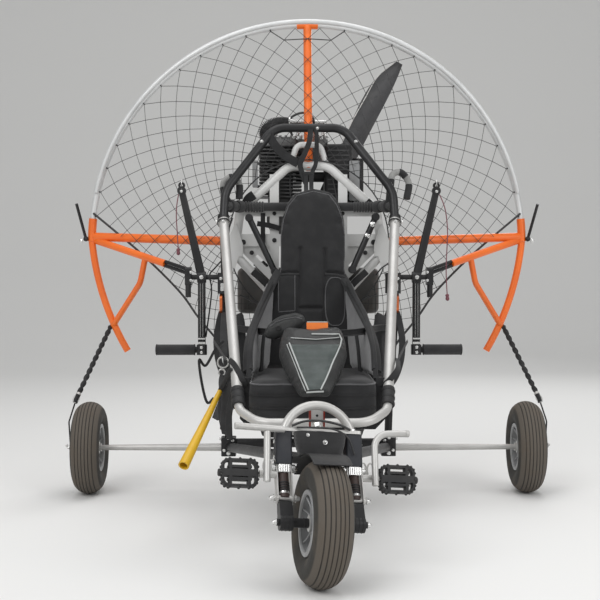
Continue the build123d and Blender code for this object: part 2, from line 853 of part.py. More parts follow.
with BuildPart() as exhaust:
    tube(
        [
            at(-140, engine_y, fin_low + fin_count * fin_pitch + seat_gap),
            at(-150, engine_y - 8, 1204),
            at(-92, engine_y - 14, 1228),
            at(-28, engine_y - 8, 1206),
        ],
        30,
        [26, 30],
    )
    add(cylinder_fins.part, mode=Mode.SUBTRACT)
save(exhaust, "exhaust")

with BuildPart() as fuel_tank:
    tank_y = chassis_y + chassis_tube / 2 + seat_gap + 71
    with BuildSketch(Plane(origin=at(0, tank_y, 588), z_dir=(0, 0, 1))) as base:
        RectangleRounded(470, 142, 34)
    extrude(base.sketch, amount=152)
    fillet(fuel_tank.faces().sort_by(Axis.Z)[-1].edges(), 20)
    fillet(fuel_tank.faces().sort_by(Axis.Z)[0].edges(), 20)
save(fuel_tank, "fuel_tank")

pulley_y = 190
with BuildPart() as belt_drive:
    belt_plane = Plane(origin=at(0, pulley_y + 34, 0), x_dir=(1, 0, 0), z_dir=(0, -1, 0))
    with BuildSketch(belt_plane) as belt:
        with Locations((0, hoop_z)):
            Circle(72)
        with Locations(crank):
            Circle(30)
        make_hull(belt.edges())
    extrude(belt.sketch, amount=30)
    pin(at(0, engine_y + 60, hoop_z), at(0, prop_y - hub_depth / 2 - seat_gap, hoop_z), 26)
    pin(at(crank[0], engine_y + 60, crank[1]), at(crank[0], pulley_y + 40, crank[1]), 14)
    pin(at(0, prop_y - hub_depth / 2 - seat_gap, hoop_z), at(0, prop_y + hub_depth / 2 + 14, hoop_z), 12)
    pin(
        at(0, prop_y + hub_depth / 2 + seat_gap, hoop_z),
        at(0, prop_y + hub_depth / 2 + 12, hoop_z),
        24,
    )
save(belt_drive, "belt_drive")

# Propeller: columns are radius, leading edge, trailing edge, thickness and twist in degrees
blade_table = (
    (34, -24, 24, 30, 34),
    (200, -48, 30, 15, 30),
    (437, -54, 24, 9, 19),
    (620, -44, 24, 6, 13),
    (prop_radius - 2, -6, 17, 3, 11),
)
prop_centre = at(0, prop_y, hoop_z)
with BuildPart() as propeller:
    pin(at(0, prop_y - hub_depth / 2, hoop_z), at(0, prop_y + hub_depth / 2, hoop_z), 42)
    for turn in (0, 180):
        angle = radians(prop_angle + turn)
        outward = Vector(sin(angle), 0, cos(angle))
        across = Vector(cos(angle), 0, -sin(angle))
        sections = []
        for radius, lead, trail, thick, twist in blade_table:
            chord = across * cos(radians(twist)) + Vector(0, 1, 0) * sin(radians(twist))
            plane = Plane(origin=prop_centre + outward * radius, x_dir=chord, z_dir=outward)
            with BuildSketch(plane) as blade_section:
                with BuildLine():
                    top = ThreePointArc((lead, 0), ((lead + trail) / 2, thick / 2), (trail, 0))
                    ThreePointArc(top @ 1, ((lead + trail) / 2, -thick / 2), top @ 0)
                make_face()
            sections.append(blade_section.sketch)
        loft(sections=sections)
    pin(
        at(0, prop_y - hub_depth, hoop_z),
        at(0, prop_y + hub_depth, hoop_z),
        12 + fit,
        mode=Mode.SUBTRACT,
    )
save(propeller, "propeller")

# Hand levers: pivot boss, grooved lower bar, foam grip, tapered upper arm, pulley and its drilled eye
for side, word in ((-1, "left"), (1, "right")):
    top = at(*mirrored(lever_top, side))
    boss = at(*mirrored(pivot, side))
    arm = top - boss
    pulley = top - Vector(0, 0, 17)
    with BuildPart() as lever:
        pin(boss - Vector(14, 0, 0), boss + Vector(14, 0, 0), 18)
        with BuildSketch(Plane(origin=boss + Vector(0, 0, grip_z - pivot[2]), z_dir=(0, 0, 1))) as bar:
            RectangleRounded(lever_bar, lever_bar, 5)
            with PolarLocations(lever_bar / 2, 4):
                Rectangle(lever_groove, lever_groove, mode=Mode.SUBTRACT)
        extrude(bar.sketch, amount=pivot[2] - grip_z - 6)
        with BuildSketch(Plane(origin=boss, x_dir=(0, 1, 0), z_dir=arm)) as arm_root:
            RectangleRounded(16, 28, 7)
        with BuildSketch(Plane(origin=pulley, x_dir=(0, 1, 0), z_dir=arm)) as arm_tip:
            RectangleRounded(12, 21, 5)
        loft(sections=[arm_root.sketch, arm_tip.sketch])
        pin(pulley - Vector(0, 8, 0), pulley + Vector(0, 8, 0), 14)
        with BuildSketch(Plane(origin=top + Vector(0, 4, 0), x_dir=(1, 0, 0), z_dir=(0, -1, 0))) as eye:
            Circle(11)
            with Locations((0, -9)):
                Rectangle(16, 18)
        extrude(eye.sketch, amount=8)
        pin(top - Vector(0, 12, 0), top + Vector(0, 12, 0), eye_radius, mode=Mode.SUBTRACT)
        clamp_plane = Plane(origin=at(side * pivot[0], pivot[1], grip_z - 16), z_dir=(0, 0, 1))
        with BuildSketch(clamp_plane) as grip_clamp:
            RectangleRounded(32, 32, 6)
        extrude(grip_clamp.sketch, amount=32)
        pin(at(side * pivot[0], pivot[1], grip_z), at(side * grip_end, pivot[1], grip_z), 10)
        pin(boss - Vector(30, 0, 0), boss + Vector(30, 0, 0), 8 + fit, mode=Mode.SUBTRACT)
    save(lever, f"lever_{word}")
    with BuildPart() as grip:
        pin(at(side * (pivot[0] + 22), pivot[1], grip_z), at(side * grip_end, pivot[1], grip_z), 17)
        add(lever.part, mode=Mode.SUBTRACT)
    save(grip, f"grip_{word}")

    # Pull cord that hangs from the pulley, and the knot at its end
    cord_route = [at(*point) for point in cord_routes[word]]
    cord_bends = widest_bends(cord_route)
    print(f"cord_{word} bend radii", [round(radius) for radius in cord_bends])
    with BuildPart() as cord:
        tube(cord_route, cord_diameter, cord_bends)
        add(lever.part, mode=Mode.SUBTRACT)
    save(cord, f"cord_{word}")
    cord_end = cord_route[-1]
    with BuildPart() as knot:
        pin(cord_end, cord_end + (cord_end - cord_route[-2]).normalized() * knot_length, knot_radius)
    save(knot, f"knot_{word}")

# Soft parts of the harness as plain solids
pad_tilt = 8
pad_back = bar_y - bar_radius - seat_gap
pad_plane = Plane(
    origin=at(0, pad_back - (bar_z - 434) * sin(radians(pad_tilt)) / cos(radians(pad_tilt)), 434),
    x_dir=(1, 0, 0),
    z_dir=(0, -cos(radians(pad_tilt)), sin(radians(pad_tilt))),
)
with BuildPart() as back_pad:
    with BuildSketch(pad_plane) as outline:
        with BuildLine():
            Polyline(
                (-158, 0),
                (-158, 190),
                (-98, 290),
                (-98, 470),
                (-52, 560),
                (52, 560),
                (98, 470),
                (98, 290),
                (158, 190),
                (158, 0),
                close=True,
            )
        make_face()
        fillet(outline.vertices().group_by(Axis.Z)[-1], 40)
    extrude(outline.sketch, amount=60)
save(back_pad, "back_pad")

cushion_low, cushion_high = 303, 430
with BuildPart() as seat_cushion:
    with BuildSketch(Plane(origin=at(0, -415, cushion_low), z_dir=(0, 0, 1))) as cushion:
        RectangleRounded(372, 460, 50)
    extrude(cushion.sketch, amount=cushion_high - cushion_low)
save(seat_cushion, "seat_cushion")

with BuildPart() as side_panels:
    for side in (-1, 1):
        panel_plane = Plane(origin=at(side * 166, 0, 0), x_dir=(0, 1, 0), z_dir=(1, 0, 0))
        with BuildSketch(panel_plane) as panel:
            with BuildLine():
                Polyline(
                    (-560, cushion_high + seat_gap),
                    (-230, cushion_high + seat_gap),
                    (-150, 660),
                    (-235, 660),
                    (-470, 545),
                    close=True,
                )
            make_face()
        extrude(panel.sketch, amount=side * 16)
save(side_panels, "side_panels")

# Reserve container on the lap: a wedge that hangs over the front edge of the cushion
rest_z = cushion_high + seat_gap
container_points = ((-460, 578), (-706, 410), (-700, 398), (-655, rest_z), (-470, rest_z))
with BuildPart() as reserve_container:
    with BuildSketch(Plane(origin=at(-90, 0, 0), x_dir=(0, 1, 0), z_dir=(1, 0, 0))) as wedge:
        with BuildLine():
            Polyline(*container_points, close=True)
        make_face()
    extrude(wedge.sketch, amount=180)
    with BuildSketch(Plane(origin=at(0, 0, 380), z_dir=(0, 0, 1))) as plan:
        with BuildLine():
            Polyline(
                (-90, -440),
                (90, -440),
                (90, -500),
                (34, -730),
                (-34, -730),
                (-90, -500),
                close=True,
            )
        make_face()
    extrude(plan.sketch, amount=240, mode=Mode.INTERSECT)
save(reserve_container, "reserve_container")

# Straps that tie the side frames down to the axle ends, with their snap hooks and thin cables
with BuildPart() as ties:
    for side in (-1, 1):
        strap_top = on_hoop(-5, -23.2, side)
        hook = at(side * 768, 40, 306)
        bend = at(side * 788, 12, 232)
        stud = at(side * (axle_end_x - 4), 0, tyre_radius + 5)
        pin(strap_top, hook, 5)
        pin(hook - (hook - strap_top).normalized() * 16, hook + (bend - hook).normalized() * 14, 8)
        tube([hook, bend, stud], 5, [24])
    for piece in (*cage_wings, *axle_legs):
        add(piece.part, mode=Mode.SUBTRACT)
save(ties, "ties")

# Yellow sleeve that tapers open downwards, on its strap beside the seat
sleeve_top = at(-262, -505, 392)
sleeve_end = at(-350, -750, 212)
with BuildPart() as yellow_sleeve:
    cone(sleeve_top, sleeve_end, 7, 15)
    mouth = (sleeve_end - sleeve_top).normalized()
    tube([sleeve_end - mouth * 60, sleeve_end + mouth * 10], 22, mode=Mode.SUBTRACT)
    pin(sleeve_top + mouth * 6, at(-232, -560, 452), 3)
    for piece in (side_tubes, tube_wraps, seat_tube):
        add(piece.part, mode=Mode.SUBTRACT)
save(yellow_sleeve, "yellow_sleeve")

# Webbing of the harness: slings under the cushion and straps up to the carabiners
webbing = 3
with BuildPart() as harness_straps:
    for y, x, z in ((-560, 205, 439), (-250, 189, cushion_high - 4)):
        sling_z = cushion_low - seat_gap - webbing / 2
        sling_plane = Plane(origin=at(0, y + 22, 0), x_dir=(1, 0, 0), z_dir=(0, -1, 0))
        with BuildSketch(sling_plane) as sling:
            with BuildLine() as sling_line:
                Polyline((-x, z), (-189, sling_z), (189, sling_z), (x, z))
                offset(amount=webbing / 2, kind=Kind.INTERSECTION)
            make_face()
        extrude(sling.sketch, amount=44)
    for side in (-1, 1):
        foot = at(side * 189, -250, cushion_high - 30)
        head = at(side * block_x, -114, 658 - 62 - 2 * seat_gap)
        run = head - foot
        strap_plane = Plane(origin=foot, x_dir=(0, 1, 0), z_dir=run)
        with BuildSketch(strap_plane) as strap:
            Rectangle(34, webbing)
        extrude(strap.sketch, amount=run.length)
    for piece in (side_tubes, seat_cushion, side_panels, tube_wraps, back_pad, carabiners):
        add(piece.part, mode=Mode.SUBTRACT)
save(harness_straps, "harness_straps")
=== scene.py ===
"""Dresses the paramotor trike: finishes, tyres, net, harness, engine details, cords, light and camera.
The tables are in millimetres and turn into metres in at() and on_fork(). +Z up, front wheel to -Y."""

import json
from math import atan2, cos, exp, hypot, log, pi, radians, sin, sqrt, tan

import bmesh
import bpy
from mathutils import Matrix, Vector, noise
from mathutils.bvhtree import BVHTree


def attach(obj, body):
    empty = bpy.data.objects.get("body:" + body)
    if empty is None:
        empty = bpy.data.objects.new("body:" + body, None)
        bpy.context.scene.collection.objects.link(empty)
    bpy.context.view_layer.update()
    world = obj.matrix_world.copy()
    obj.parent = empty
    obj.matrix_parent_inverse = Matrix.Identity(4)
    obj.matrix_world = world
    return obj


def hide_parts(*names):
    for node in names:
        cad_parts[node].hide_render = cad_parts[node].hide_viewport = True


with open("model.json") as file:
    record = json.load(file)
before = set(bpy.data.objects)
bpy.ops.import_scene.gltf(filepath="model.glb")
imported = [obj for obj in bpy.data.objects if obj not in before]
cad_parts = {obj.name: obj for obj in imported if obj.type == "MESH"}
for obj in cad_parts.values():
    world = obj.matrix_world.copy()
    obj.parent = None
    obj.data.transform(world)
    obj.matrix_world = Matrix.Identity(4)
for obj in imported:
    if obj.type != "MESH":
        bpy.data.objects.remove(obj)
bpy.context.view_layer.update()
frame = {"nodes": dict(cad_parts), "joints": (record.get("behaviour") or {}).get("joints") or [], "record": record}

# Places, all from the frame's joints
joints = {joint["name"]: joint for joint in frame["joints"]}
rear_axle = Vector(joints["rear_wheel_left_spin"]["pos_m"])
head = Vector(joints["steering"]["pos_m"])
steer_axis = Vector(joints["steering"]["axis"]).normalized()
front_hub = Vector(joints["front_wheel_spin"]["pos_m"])
fork_across = Vector(joints["front_wheel_spin"]["axis"]).normalized()
fork_back = steer_axis.cross(fork_across)
prop_hub = Vector(joints["propeller_spin"]["pos_m"])
X, Y, Z = Vector((1, 0, 0)), Vector((0, 1, 0)), Vector((0, 0, 1))


def at(x, y, z):
    """A place in millimetres from the ground under the middle of the rear axle."""
    return Vector((x, y, z)) / 1000 + Vector((0, rear_axle.y, 0))


def on_fork(x, y, z):
    """A place in millimetres in the fork's frame: across, backwards and up the steering axis."""
    return head + (fork_across * x + fork_back * y + steer_axis * z) / 1000


# Camera at the photograph's viewing angle
camera_place = Vector((-0.083, -3.525, 0.752))
camera_yaw = radians(0.78)
camera_pitch = radians(-1.67)
camera_data = bpy.data.cameras.new("camera")
camera_data.lens = 74.1
camera_data.sensor_width = 36
camera = bpy.data.objects.new("camera", camera_data)
bpy.context.collection.objects.link(camera)
camera.location = camera_place
look = Vector((sin(camera_yaw) * cos(camera_pitch), cos(camera_yaw) * cos(camera_pitch), sin(camera_pitch)))
camera.rotation_euler = look.to_track_quat("-Z", "Y").to_euler()
bpy.context.scene.camera = camera


# Finishes
class Finish:
    """A Principled material that varies over the surface, in metres of the object's own place."""

    def __init__(self, name, colour, roughness, metallic=0.0, edge=0.0004):
        self.material = bpy.data.materials.new(name)
        self.material.use_nodes = True
        self.material.diffuse_color = (*colour, 1)
        self.tree = self.material.node_tree
        self.shader = self.tree.nodes["Principled BSDF"]
        self.colour = colour
        self.shader.inputs["Base Color"].default_value = (*colour, 1)
        self.shader.inputs["Roughness"].default_value = roughness
        self.shader.inputs["Metallic"].default_value = metallic
        self.place = self.add("ShaderNodeTexCoord").outputs["Object"]
        self.normal = None
        if edge:
            bevel = self.add("ShaderNodeBevel")
            bevel.samples = 4
            bevel.inputs["Radius"].default_value = edge
            self.normal = bevel.outputs["Normal"]
            self.tree.links.new(self.normal, self.shader.inputs["Normal"])

    def add(self, kind, **inputs):
        node = self.tree.nodes.new(kind)
        for key, value in inputs.items():
            node.inputs[key.replace("_", " ")].default_value = value
        return node

    def link(self, output, node, key):
        self.tree.links.new(output, node.inputs[key])

    def stretched(self, stretch):
        mapping = self.add("ShaderNodeMapping")
        mapping.inputs["Scale"].default_value = stretch
        self.link(self.place, mapping, "Vector")
        return mapping.outputs["Vector"]

    def noise(self, scale, detail=3.0, stretch=(1, 1, 1), rough=0.55):
        """Cloudy noise with features about 1/scale metres wide."""
        node = self.add("ShaderNodeTexNoise", Scale=scale, Detail=detail, Roughness=rough)
        self.link(self.stretched(stretch), node, "Vector")
        return node.outputs["Fac"]

    def specks(self, scale, stretch=(1, 1, 1)):
        node = self.add("ShaderNodeTexVoronoi", Scale=scale)
        self.link(self.stretched(stretch), node, "Vector")
        return node.outputs["Distance"]

    def stripes(self, scale, direction="X", turn=0.0):
        node = self.add("ShaderNodeTexWave", Scale=scale)
        node.bands_direction = direction
        mapping = self.add("ShaderNodeMapping")
        mapping.inputs["Rotation"].default_value = (0, 0, turn)
        self.link(self.place, mapping, "Vector")
        self.link(mapping.outputs["Vector"], node, "Vector")
        return node.outputs["Fac"]

    def ramp(self, fac, low, high):
        """Rises from 0 to 1 as fac goes from low to high."""
        node = self.add("ShaderNodeMapRange")
        node.inputs["From Min"].default_value = low
        node.inputs["From Max"].default_value = high
        self.link(fac, node, "Value")
        return node.outputs["Result"]

    def tint(self, fac, colour):
        """Turns the base colour towards another one where fac is 1."""
        mix = self.add("ShaderNodeMix")
        mix.data_type = "RGBA"
        first, second = mix.inputs[6], mix.inputs[7]
        socket = self.shader.inputs["Base Color"]
        if socket.is_linked:
            self.tree.links.new(socket.links[0].from_socket, first)
        else:
            first.default_value = (*self.colour, 1)
        second.default_value = (*colour, 1)
        self.tree.links.new(fac, mix.inputs[0])
        self.tree.links.new(mix.outputs[2], socket)
        return self

    def roughen(self, fac, low, high):
        node = self.add("ShaderNodeMapRange")
        node.inputs["To Min"].default_value = low
        node.inputs["To Max"].default_value = high
        self.link(fac, node, "Value")
        self.tree.links.new(node.outputs["Result"], self.shader.inputs["Roughness"])
        return self

    def bump(self, fac, depth, strength=0.6):
        """Raises the surface by up to depth metres where fac is 1."""
        node = self.add("ShaderNodeBump", Strength=strength, Distance=depth)
        self.link(fac, node, "Height")
        if self.normal is not None:
            self.link(self.normal, node, "Normal")
        self.normal = node.outputs["Normal"]
        self.tree.links.new(self.normal, self.shader.inputs["Normal"])
        return self

    def attribute(self, name):
        node = self.add("ShaderNodeAttribute")
        node.attribute_name = name
        return node.outputs["Fac"]

    def set(self, **values):
        for key, value in values.items():
            self.shader.inputs[key.replace("_", " ")].default_value = value
        return self


def tube_finish(name, colour, roughness, metallic, wear):
    """Drawn tube: long fine scratches, faint clouds and handling marks."""
    finish = Finish(name, colour, roughness, metallic)
    finish.tint(finish.ramp(finish.noise(9, 4), 0.45, 0.75), wear)
    finish.roughen(finish.noise(60, 5), roughness - 0.08, roughness + 0.14)
    finish.bump(finish.noise(900, 2, (1, 1, 0.15)), 0.00006, 0.35)
    return finish


def paint_finish(name, colour, shade, roughness=0.36):
    """Powder coat: orange-peel bump, slightly uneven tone and dust in the tone."""
    finish = Finish(name, colour, roughness)
    finish.tint(finish.ramp(finish.noise(6, 5), 0.4, 0.8), shade)
    finish.roughen(finish.noise(35, 4), roughness - 0.08, roughness + 0.12)
    finish.bump(finish.noise(700, 2), 0.00008, 0.4)
    finish.set(Coat_Weight=0.25, Coat_Roughness=0.2)
    return finish


def moulded_finish(name, colour, shade, roughness=0.55):
    """Moulded plastic: fine spark texture and a little dust."""
    finish = Finish(name, colour, roughness)
    finish.tint(finish.ramp(finish.noise(14, 5), 0.45, 0.8), shade)
    finish.roughen(finish.noise(90, 3), roughness - 0.1, roughness + 0.1)
    finish.bump(finish.noise(1600, 2), 0.00009, 0.5)
    return finish


def woven_finish(name, colour, shade, thread=0.0011, sheen=0.35, roughness=0.85, fold=0.0012):
    """Woven cloth: two crossed thread families, soft creases and a pale sheen."""
    finish = Finish(name, colour, roughness, edge=0.0)
    finish.tint(finish.ramp(finish.noise(22, 5), 0.42, 0.75), shade)
    count = 1 / (2 * pi * thread) * 2
    finish.bump(finish.noise(38, 4), fold, 0.5)
    finish.bump(finish.stripes(count, "X"), thread * 0.25, 0.5)
    finish.bump(finish.stripes(count, "Z"), thread * 0.25, 0.5)
    finish.set(Sheen_Weight=sheen, Sheen_Roughness=0.5)
    return finish


def foam_finish(name, colour, shade):
    """Closed-cell foam: open matt pores."""
    finish = Finish(name, colour, 0.95, edge=0.0)
    finish.tint(finish.ramp(finish.noise(30, 4), 0.4, 0.8), shade)
    finish.bump(finish.specks(1100), 0.0003, 0.7)
    finish.set(Sheen_Weight=0.25, Sheen_Roughness=0.6)
    return finish


def tyre_finish():
    """Dusty rubber: ribs paler than the grooves, partly dust and partly painted light, dark grooves as painted
    shade, and brown dust.
    """
    finish = Finish("tyre rubber", (0.036, 0.034, 0.03), 0.85, edge=0.0)
    dust_and_painted_light = finish.attribute("dust_and_painted_light")
    # Paler on the rib tops and on the walls near the tread, darker in the grooves: partly dust, partly painted
    # light and painted shade.
    finish.tint(finish.ramp(dust_and_painted_light, 0.35, 1.0), (0.105, 0.09, 0.074))
    finish.tint(finish.ramp(finish.noise(14, 6), 0.5, 0.85), (0.1, 0.08, 0.06))
    finish.roughen(finish.noise(80, 4), 0.72, 0.98)
    finish.bump(finish.noise(420, 4), 0.0004, 0.5)
    return finish


def carbon_finish():
    """Carbon blade: faint twill under a worn clear coat."""
    finish = Finish("carbon", (0.018, 0.018, 0.02), 0.38)
    finish.tint(finish.ramp(finish.stripes(150, "X", radians(45)), 0.3, 0.9), (0.04, 0.04, 0.044))
    finish.tint(finish.ramp(finish.noise(12, 5), 0.5, 0.85), (0.075, 0.074, 0.072))
    finish.roughen(finish.noise(30, 4), 0.3, 0.55)
    finish.set(Coat_Weight=0.5, Coat_Roughness=0.25)
    return finish


def cast_finish(name, colour, shade, metallic=0.7):
    """Sand-cast or blasted metal with oil haze."""
    finish = Finish(name, colour, 0.5, metallic)
    finish.tint(finish.ramp(finish.noise(20, 5), 0.4, 0.75), shade)
    finish.roughen(finish.noise(50, 4), 0.38, 0.7)
    finish.bump(finish.noise(650, 3), 0.0002, 0.5)
    return finish


finishes = {
    "black_tube": tube_finish("black tube", (0.016, 0.016, 0.017), 0.38, 0.3, (0.034, 0.034, 0.035)),
    "satin_silver": tube_finish("satin silver", (0.57, 0.565, 0.55), 0.44, 0.6, (0.48, 0.47, 0.455)),
    "red_plate": tube_finish("red plate", (0.3, 0.03, 0.015), 0.38, 0.5, (0.2, 0.02, 0.012)),
    "black_wrap": moulded_finish("black wrap", (0.02, 0.02, 0.021), (0.04, 0.04, 0.04), 0.6),
    "white_paint": paint_finish("white paint", (0.68, 0.68, 0.67), (0.56, 0.56, 0.545)),
    "black_foam": foam_finish("black foam", (0.013, 0.013, 0.014), (0.024, 0.024, 0.025)),
    "black_plastic": moulded_finish("black plastic", (0.012, 0.012, 0.013), (0.03, 0.029, 0.028), 0.62),
    "copper_anodised": tube_finish("copper", (0.72, 0.2, 0.07), 0.28, 0.85, (0.5, 0.1, 0.05)),
    "hoop_white": tube_finish("hoop metal", (0.66, 0.67, 0.67), 0.42, 0.35, (0.55, 0.56, 0.56)),
    "orange_paint": paint_finish("orange paint", (0.88, 0.17, 0.014), (0.74, 0.12, 0.01)),
    "engine_metal": cast_finish("cast metal", (0.22, 0.22, 0.22), (0.07, 0.068, 0.065)),
    "engine_black": cast_finish("black cast metal", (0.1, 0.1, 0.102), (0.045, 0.044, 0.043), 0.5),
    "black_hose": moulded_finish("black hose", (0.022, 0.022, 0.023), (0.055, 0.052, 0.05), 0.5),
    "tank_plastic": moulded_finish("tank plastic", (0.07, 0.068, 0.064), (0.11, 0.1, 0.09), 0.42),
    "harness_black": woven_finish("black cloth", (0.011, 0.011, 0.012), (0.021, 0.021, 0.022), sheen=0.14),
    "harness_grey": woven_finish("grey cloth", (0.2, 0.2, 0.205), (0.26, 0.26, 0.265)),
    "black_webbing": woven_finish(
        "black webbing", (0.013, 0.013, 0.014), (0.026, 0.026, 0.027), 0.0022, 0.12
    ),
    "yellow_plastic": moulded_finish("yellow plastic", (0.68, 0.41, 0.02), (0.5, 0.27, 0.012), 0.42),
    "black_rubber": moulded_finish("black rubber", (0.022, 0.024, 0.03), (0.045, 0.046, 0.05), 0.62),
    "damper_rubber": moulded_finish("damper rubber", (0.05, 0.032, 0.028), (0.09, 0.05, 0.04), 0.55),
    "tyre": tyre_finish(),
    "rim_plastic": moulded_finish("rim plastic", (0.32, 0.325, 0.33), (0.2, 0.195, 0.185), 0.42),
    "carbon": carbon_finish(),
    "harness_grey_edge": woven_finish("grey edge tape", (0.075, 0.075, 0.078), (0.11, 0.11, 0.115)),
    "container_black": woven_finish(
        "coated black cloth", (0.012, 0.013, 0.013), (0.026, 0.027, 0.027), 0.0008, 0.06, 0.34
    ),
    "window_cloth": woven_finish(
        "grey-green satin", (0.13, 0.155, 0.15), (0.2, 0.235, 0.225), 0.0009, 0.2, 0.36
    ),
    "piping_silver": moulded_finish("silver piping", (0.42, 0.44, 0.43), (0.55, 0.57, 0.56), 0.35),
    "tab_orange": moulded_finish("orange tab", (0.8, 0.2, 0.02), (0.68, 0.14, 0.015), 0.5),
    "cord_wine": moulded_finish("wine cord", (0.17, 0.06, 0.075), (0.24, 0.1, 0.12), 0.75),
    "bright_metal": tube_finish("bright metal", (0.74, 0.74, 0.73), 0.24, 0.9, (0.6, 0.6, 0.59)),
    "grip_grey": foam_finish("grey foam", (0.21, 0.21, 0.205), (0.3, 0.3, 0.29)),
}
for subpart in frame["record"]["subparts"]:
    node = frame["nodes"][subpart["node"]]
    node.data.materials.clear()
    node.data.materials.append(finishes[subpart["material_slot"]].material)


# Shape helpers
def turns(count):
    """The angles of equal steps round a circle."""
    return [2 * pi * i / count for i in range(count)]


def circle(radius, sides=12):
    """A round section in millimetres."""
    return [(radius * cos(angle), radius * sin(angle)) for angle in turns(sides)]


def flat(width, thickness, corner=0.35):
    """The section of a strap: a flat band with rounded edges."""
    w, t = width / 2, thickness / 2
    c = t * corner * 2
    return [
        (-w, -t + c), (-w + c, -t), (w - c, -t), (w, -t + c), (w, t - c), (w - c, t), (-w + c, t),
        (-w, t - c)
    ]


def through(points, steps=8):
    """A smooth path through the points."""
    points = [Vector(p) for p in points]
    ends = [points[0] * 2 - points[1]] + points + [points[-1] * 2 - points[-2]]
    path = []
    for a, b, c, d in zip(ends, ends[1:], ends[2:], ends[3:]):
        for i in range(steps):
            t = i / steps
            path.append(
                0.5 * (
                    2 * b + (c - a) * t + (2 * a - 5 * b + 4 * c - d) * t**2 + (3 * b - a - 3 * c + d) * t**3
                )
            )
    return path + [points[-1]]


def trail(points, steps=8, side=1):
    """A smooth path through places in millimetres; a side of -1 mirrors it."""
    return through([at(side * x, y, z) for x, y, z in points], steps)


def sweep(form, path, section, up=None, closed=False, scale=None, twist=0.0):
    """Carries a section along a path; up keeps a flat section level, scale and twist vary it."""
    count = len(path)
    rings = []
    side = None
    for i, place in enumerate(path):
        before = path[i - 1] if i or closed else path[0]
        after = path[(i + 1) % count] if i < count - 1 or closed else path[-1]
        along = (after - before).normalized()
        if up is not None:
            across = along.cross(up[i] if isinstance(up, list) else up).normalized()
        elif side is None:
            across = along.orthogonal().normalized()
        else:
            across = (side - along * side.dot(along)).normalized()
        side = across
        turn = Matrix.Rotation(twist * i / max(count - 1, 1), 3, along)
        u, v = turn @ across, turn @ along.cross(across)
        grow = scale(i / max(count - 1, 1)) if scale else 1.0
        rings.append([form.verts.new(place + (u * a + v * b) * grow / 1000) for a, b in section])
    sides = len(section)
    for i in range(count if closed else count - 1):
        first, second = rings[i], rings[(i + 1) % count]
        for k in range(sides):
            form.faces.new((first[k], first[(k + 1) % sides], second[(k + 1) % sides], second[k]))
    if not closed:
        form.faces.new(list(reversed(rings[0])))
        form.faces.new(rings[-1])


def rod(form, start, end, radius, sides=14):
    """A plain round bar."""
    sweep(form, [start, end], circle(radius, sides))


def lathe(form, origin, axis, profile, sides=24, closed=False):
    """Turns a profile of (along, radius) pairs, in millimetres, round an axis."""
    axis = axis.normalized()
    side = axis.orthogonal().normalized()
    other = axis.cross(side)
    rings = []
    for along, radius in profile:
        ring = []
        for angle in turns(sides):
            ring.append(
                form.verts.new(
                    origin + (axis * along + (side * cos(angle) + other * sin(angle)) * radius) / 1000
                )
            )
        rings.append(ring)
    pairs = list(zip(rings, rings[1:]))
    if closed:
        pairs.append((rings[-1], rings[0]))
    for first, second in pairs:
        for k in range(sides):
            form.faces.new((first[k], first[(k + 1) % sides], second[(k + 1) % sides], second[k]))
    if not closed:
        form.faces.new(list(reversed(rings[0])))
        form.faces.new(rings[-1])
    return rings


def screw(form, place, axis, size, washer=True):
    """A hexagon head with its washer, standing on place along axis; size is the key width."""
    axis = axis.normalized()
    low = 0.0
    if washer:
        lathe(
            form, place, axis, [(0, size * 0.72), (size * 0.12, size * 0.72), (size * 0.14, size * 0.66)],
            16
        )
        low = size * 0.14
    lathe(form, place, axis, [(low, size * 0.56), (size * 0.58, size * 0.56), (size * 0.66, size * 0.46)], 6)


def dome(form, place, axis, size):
    """A domed cap nut on its washer."""
    profile = [
        (0, size * 0.7), (size * 0.12, size * 0.7), (size * 0.14, size * 0.5), (size * 0.5, size * 0.5)
    ]
    profile += [(size * (0.5 + 0.42 * sin(a)), size * 0.46 * cos(a)) for a in (0.0, 0.5, 1.0, 1.4)]
    lathe(form, place, axis, profile, 16)


def plate(form, outline, origin, u, v, thickness):
    """An outline of (u, v) pairs in millimetres, raised by the thickness along u x v."""
    out = u.cross(v).normalized()
    low = [form.verts.new(origin + (u * a + v * b) / 1000) for a, b in outline]
    high = [form.verts.new(corner.co + out * thickness / 1000) for corner in low]
    form.faces.new(list(reversed(low)))
    form.faces.new(high)
    for i in range(len(low)):
        k = (i + 1) % len(low)
        form.faces.new((low[i], low[k], high[k], high[i]))


def rounded(width, height, radius, steps=4):
    """The outline of a rounded rectangle."""
    outline = []
    for cx, cy, start in ((1, 1, 0), (-1, 1, 90), (-1, -1, 180), (1, -1, 270)):
        for i in range(steps + 1):
            angle = radians(start + 90 * i / steps)
            outline.append(
                (
                    cx * (width / 2 - radius) + radius * cos(angle),
                    cy * (height / 2 - radius) + radius * sin(angle)
                )
            )
    return outline


def make(form, name, finish, body, smooth=38, origin=None, turn=None):
    """Writes a form as a piece that rides on a body; origin and turn give it a frame of its own."""
    bmesh.ops.recalc_face_normals(form, faces=form.faces)
    mesh = bpy.data.meshes.new(name)
    place = Matrix.Translation(origin or Vector((0, 0, 0))) @ (turn or Matrix.Identity(3)).to_4x4()
    form.transform(place.inverted())
    form.to_mesh(mesh)
    form.free()
    mesh.materials.append((finishes[finish] if isinstance(finish, str) else finish).material)
    mesh.polygons.foreach_set("use_smooth", [True] * len(mesh.polygons))
    mesh.set_sharp_from_angle(angle=radians(smooth))
    piece = bpy.data.objects.new(name, mesh)
    bpy.context.collection.objects.link(piece)
    piece.matrix_world = place
    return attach(piece, body)


# Tyres: five ribs between grooves on a round crown, shoulders and ringed walls
crown_half, crown_fall, tyre_radius = 40, 19, 150
crown_radius = (crown_half**2 + crown_fall**2) / (2 * crown_fall)
groove_places = (-27, -16, -5.5, 5.5, 16, 27)
groove_depth, groove_half = 2.0, 1.6


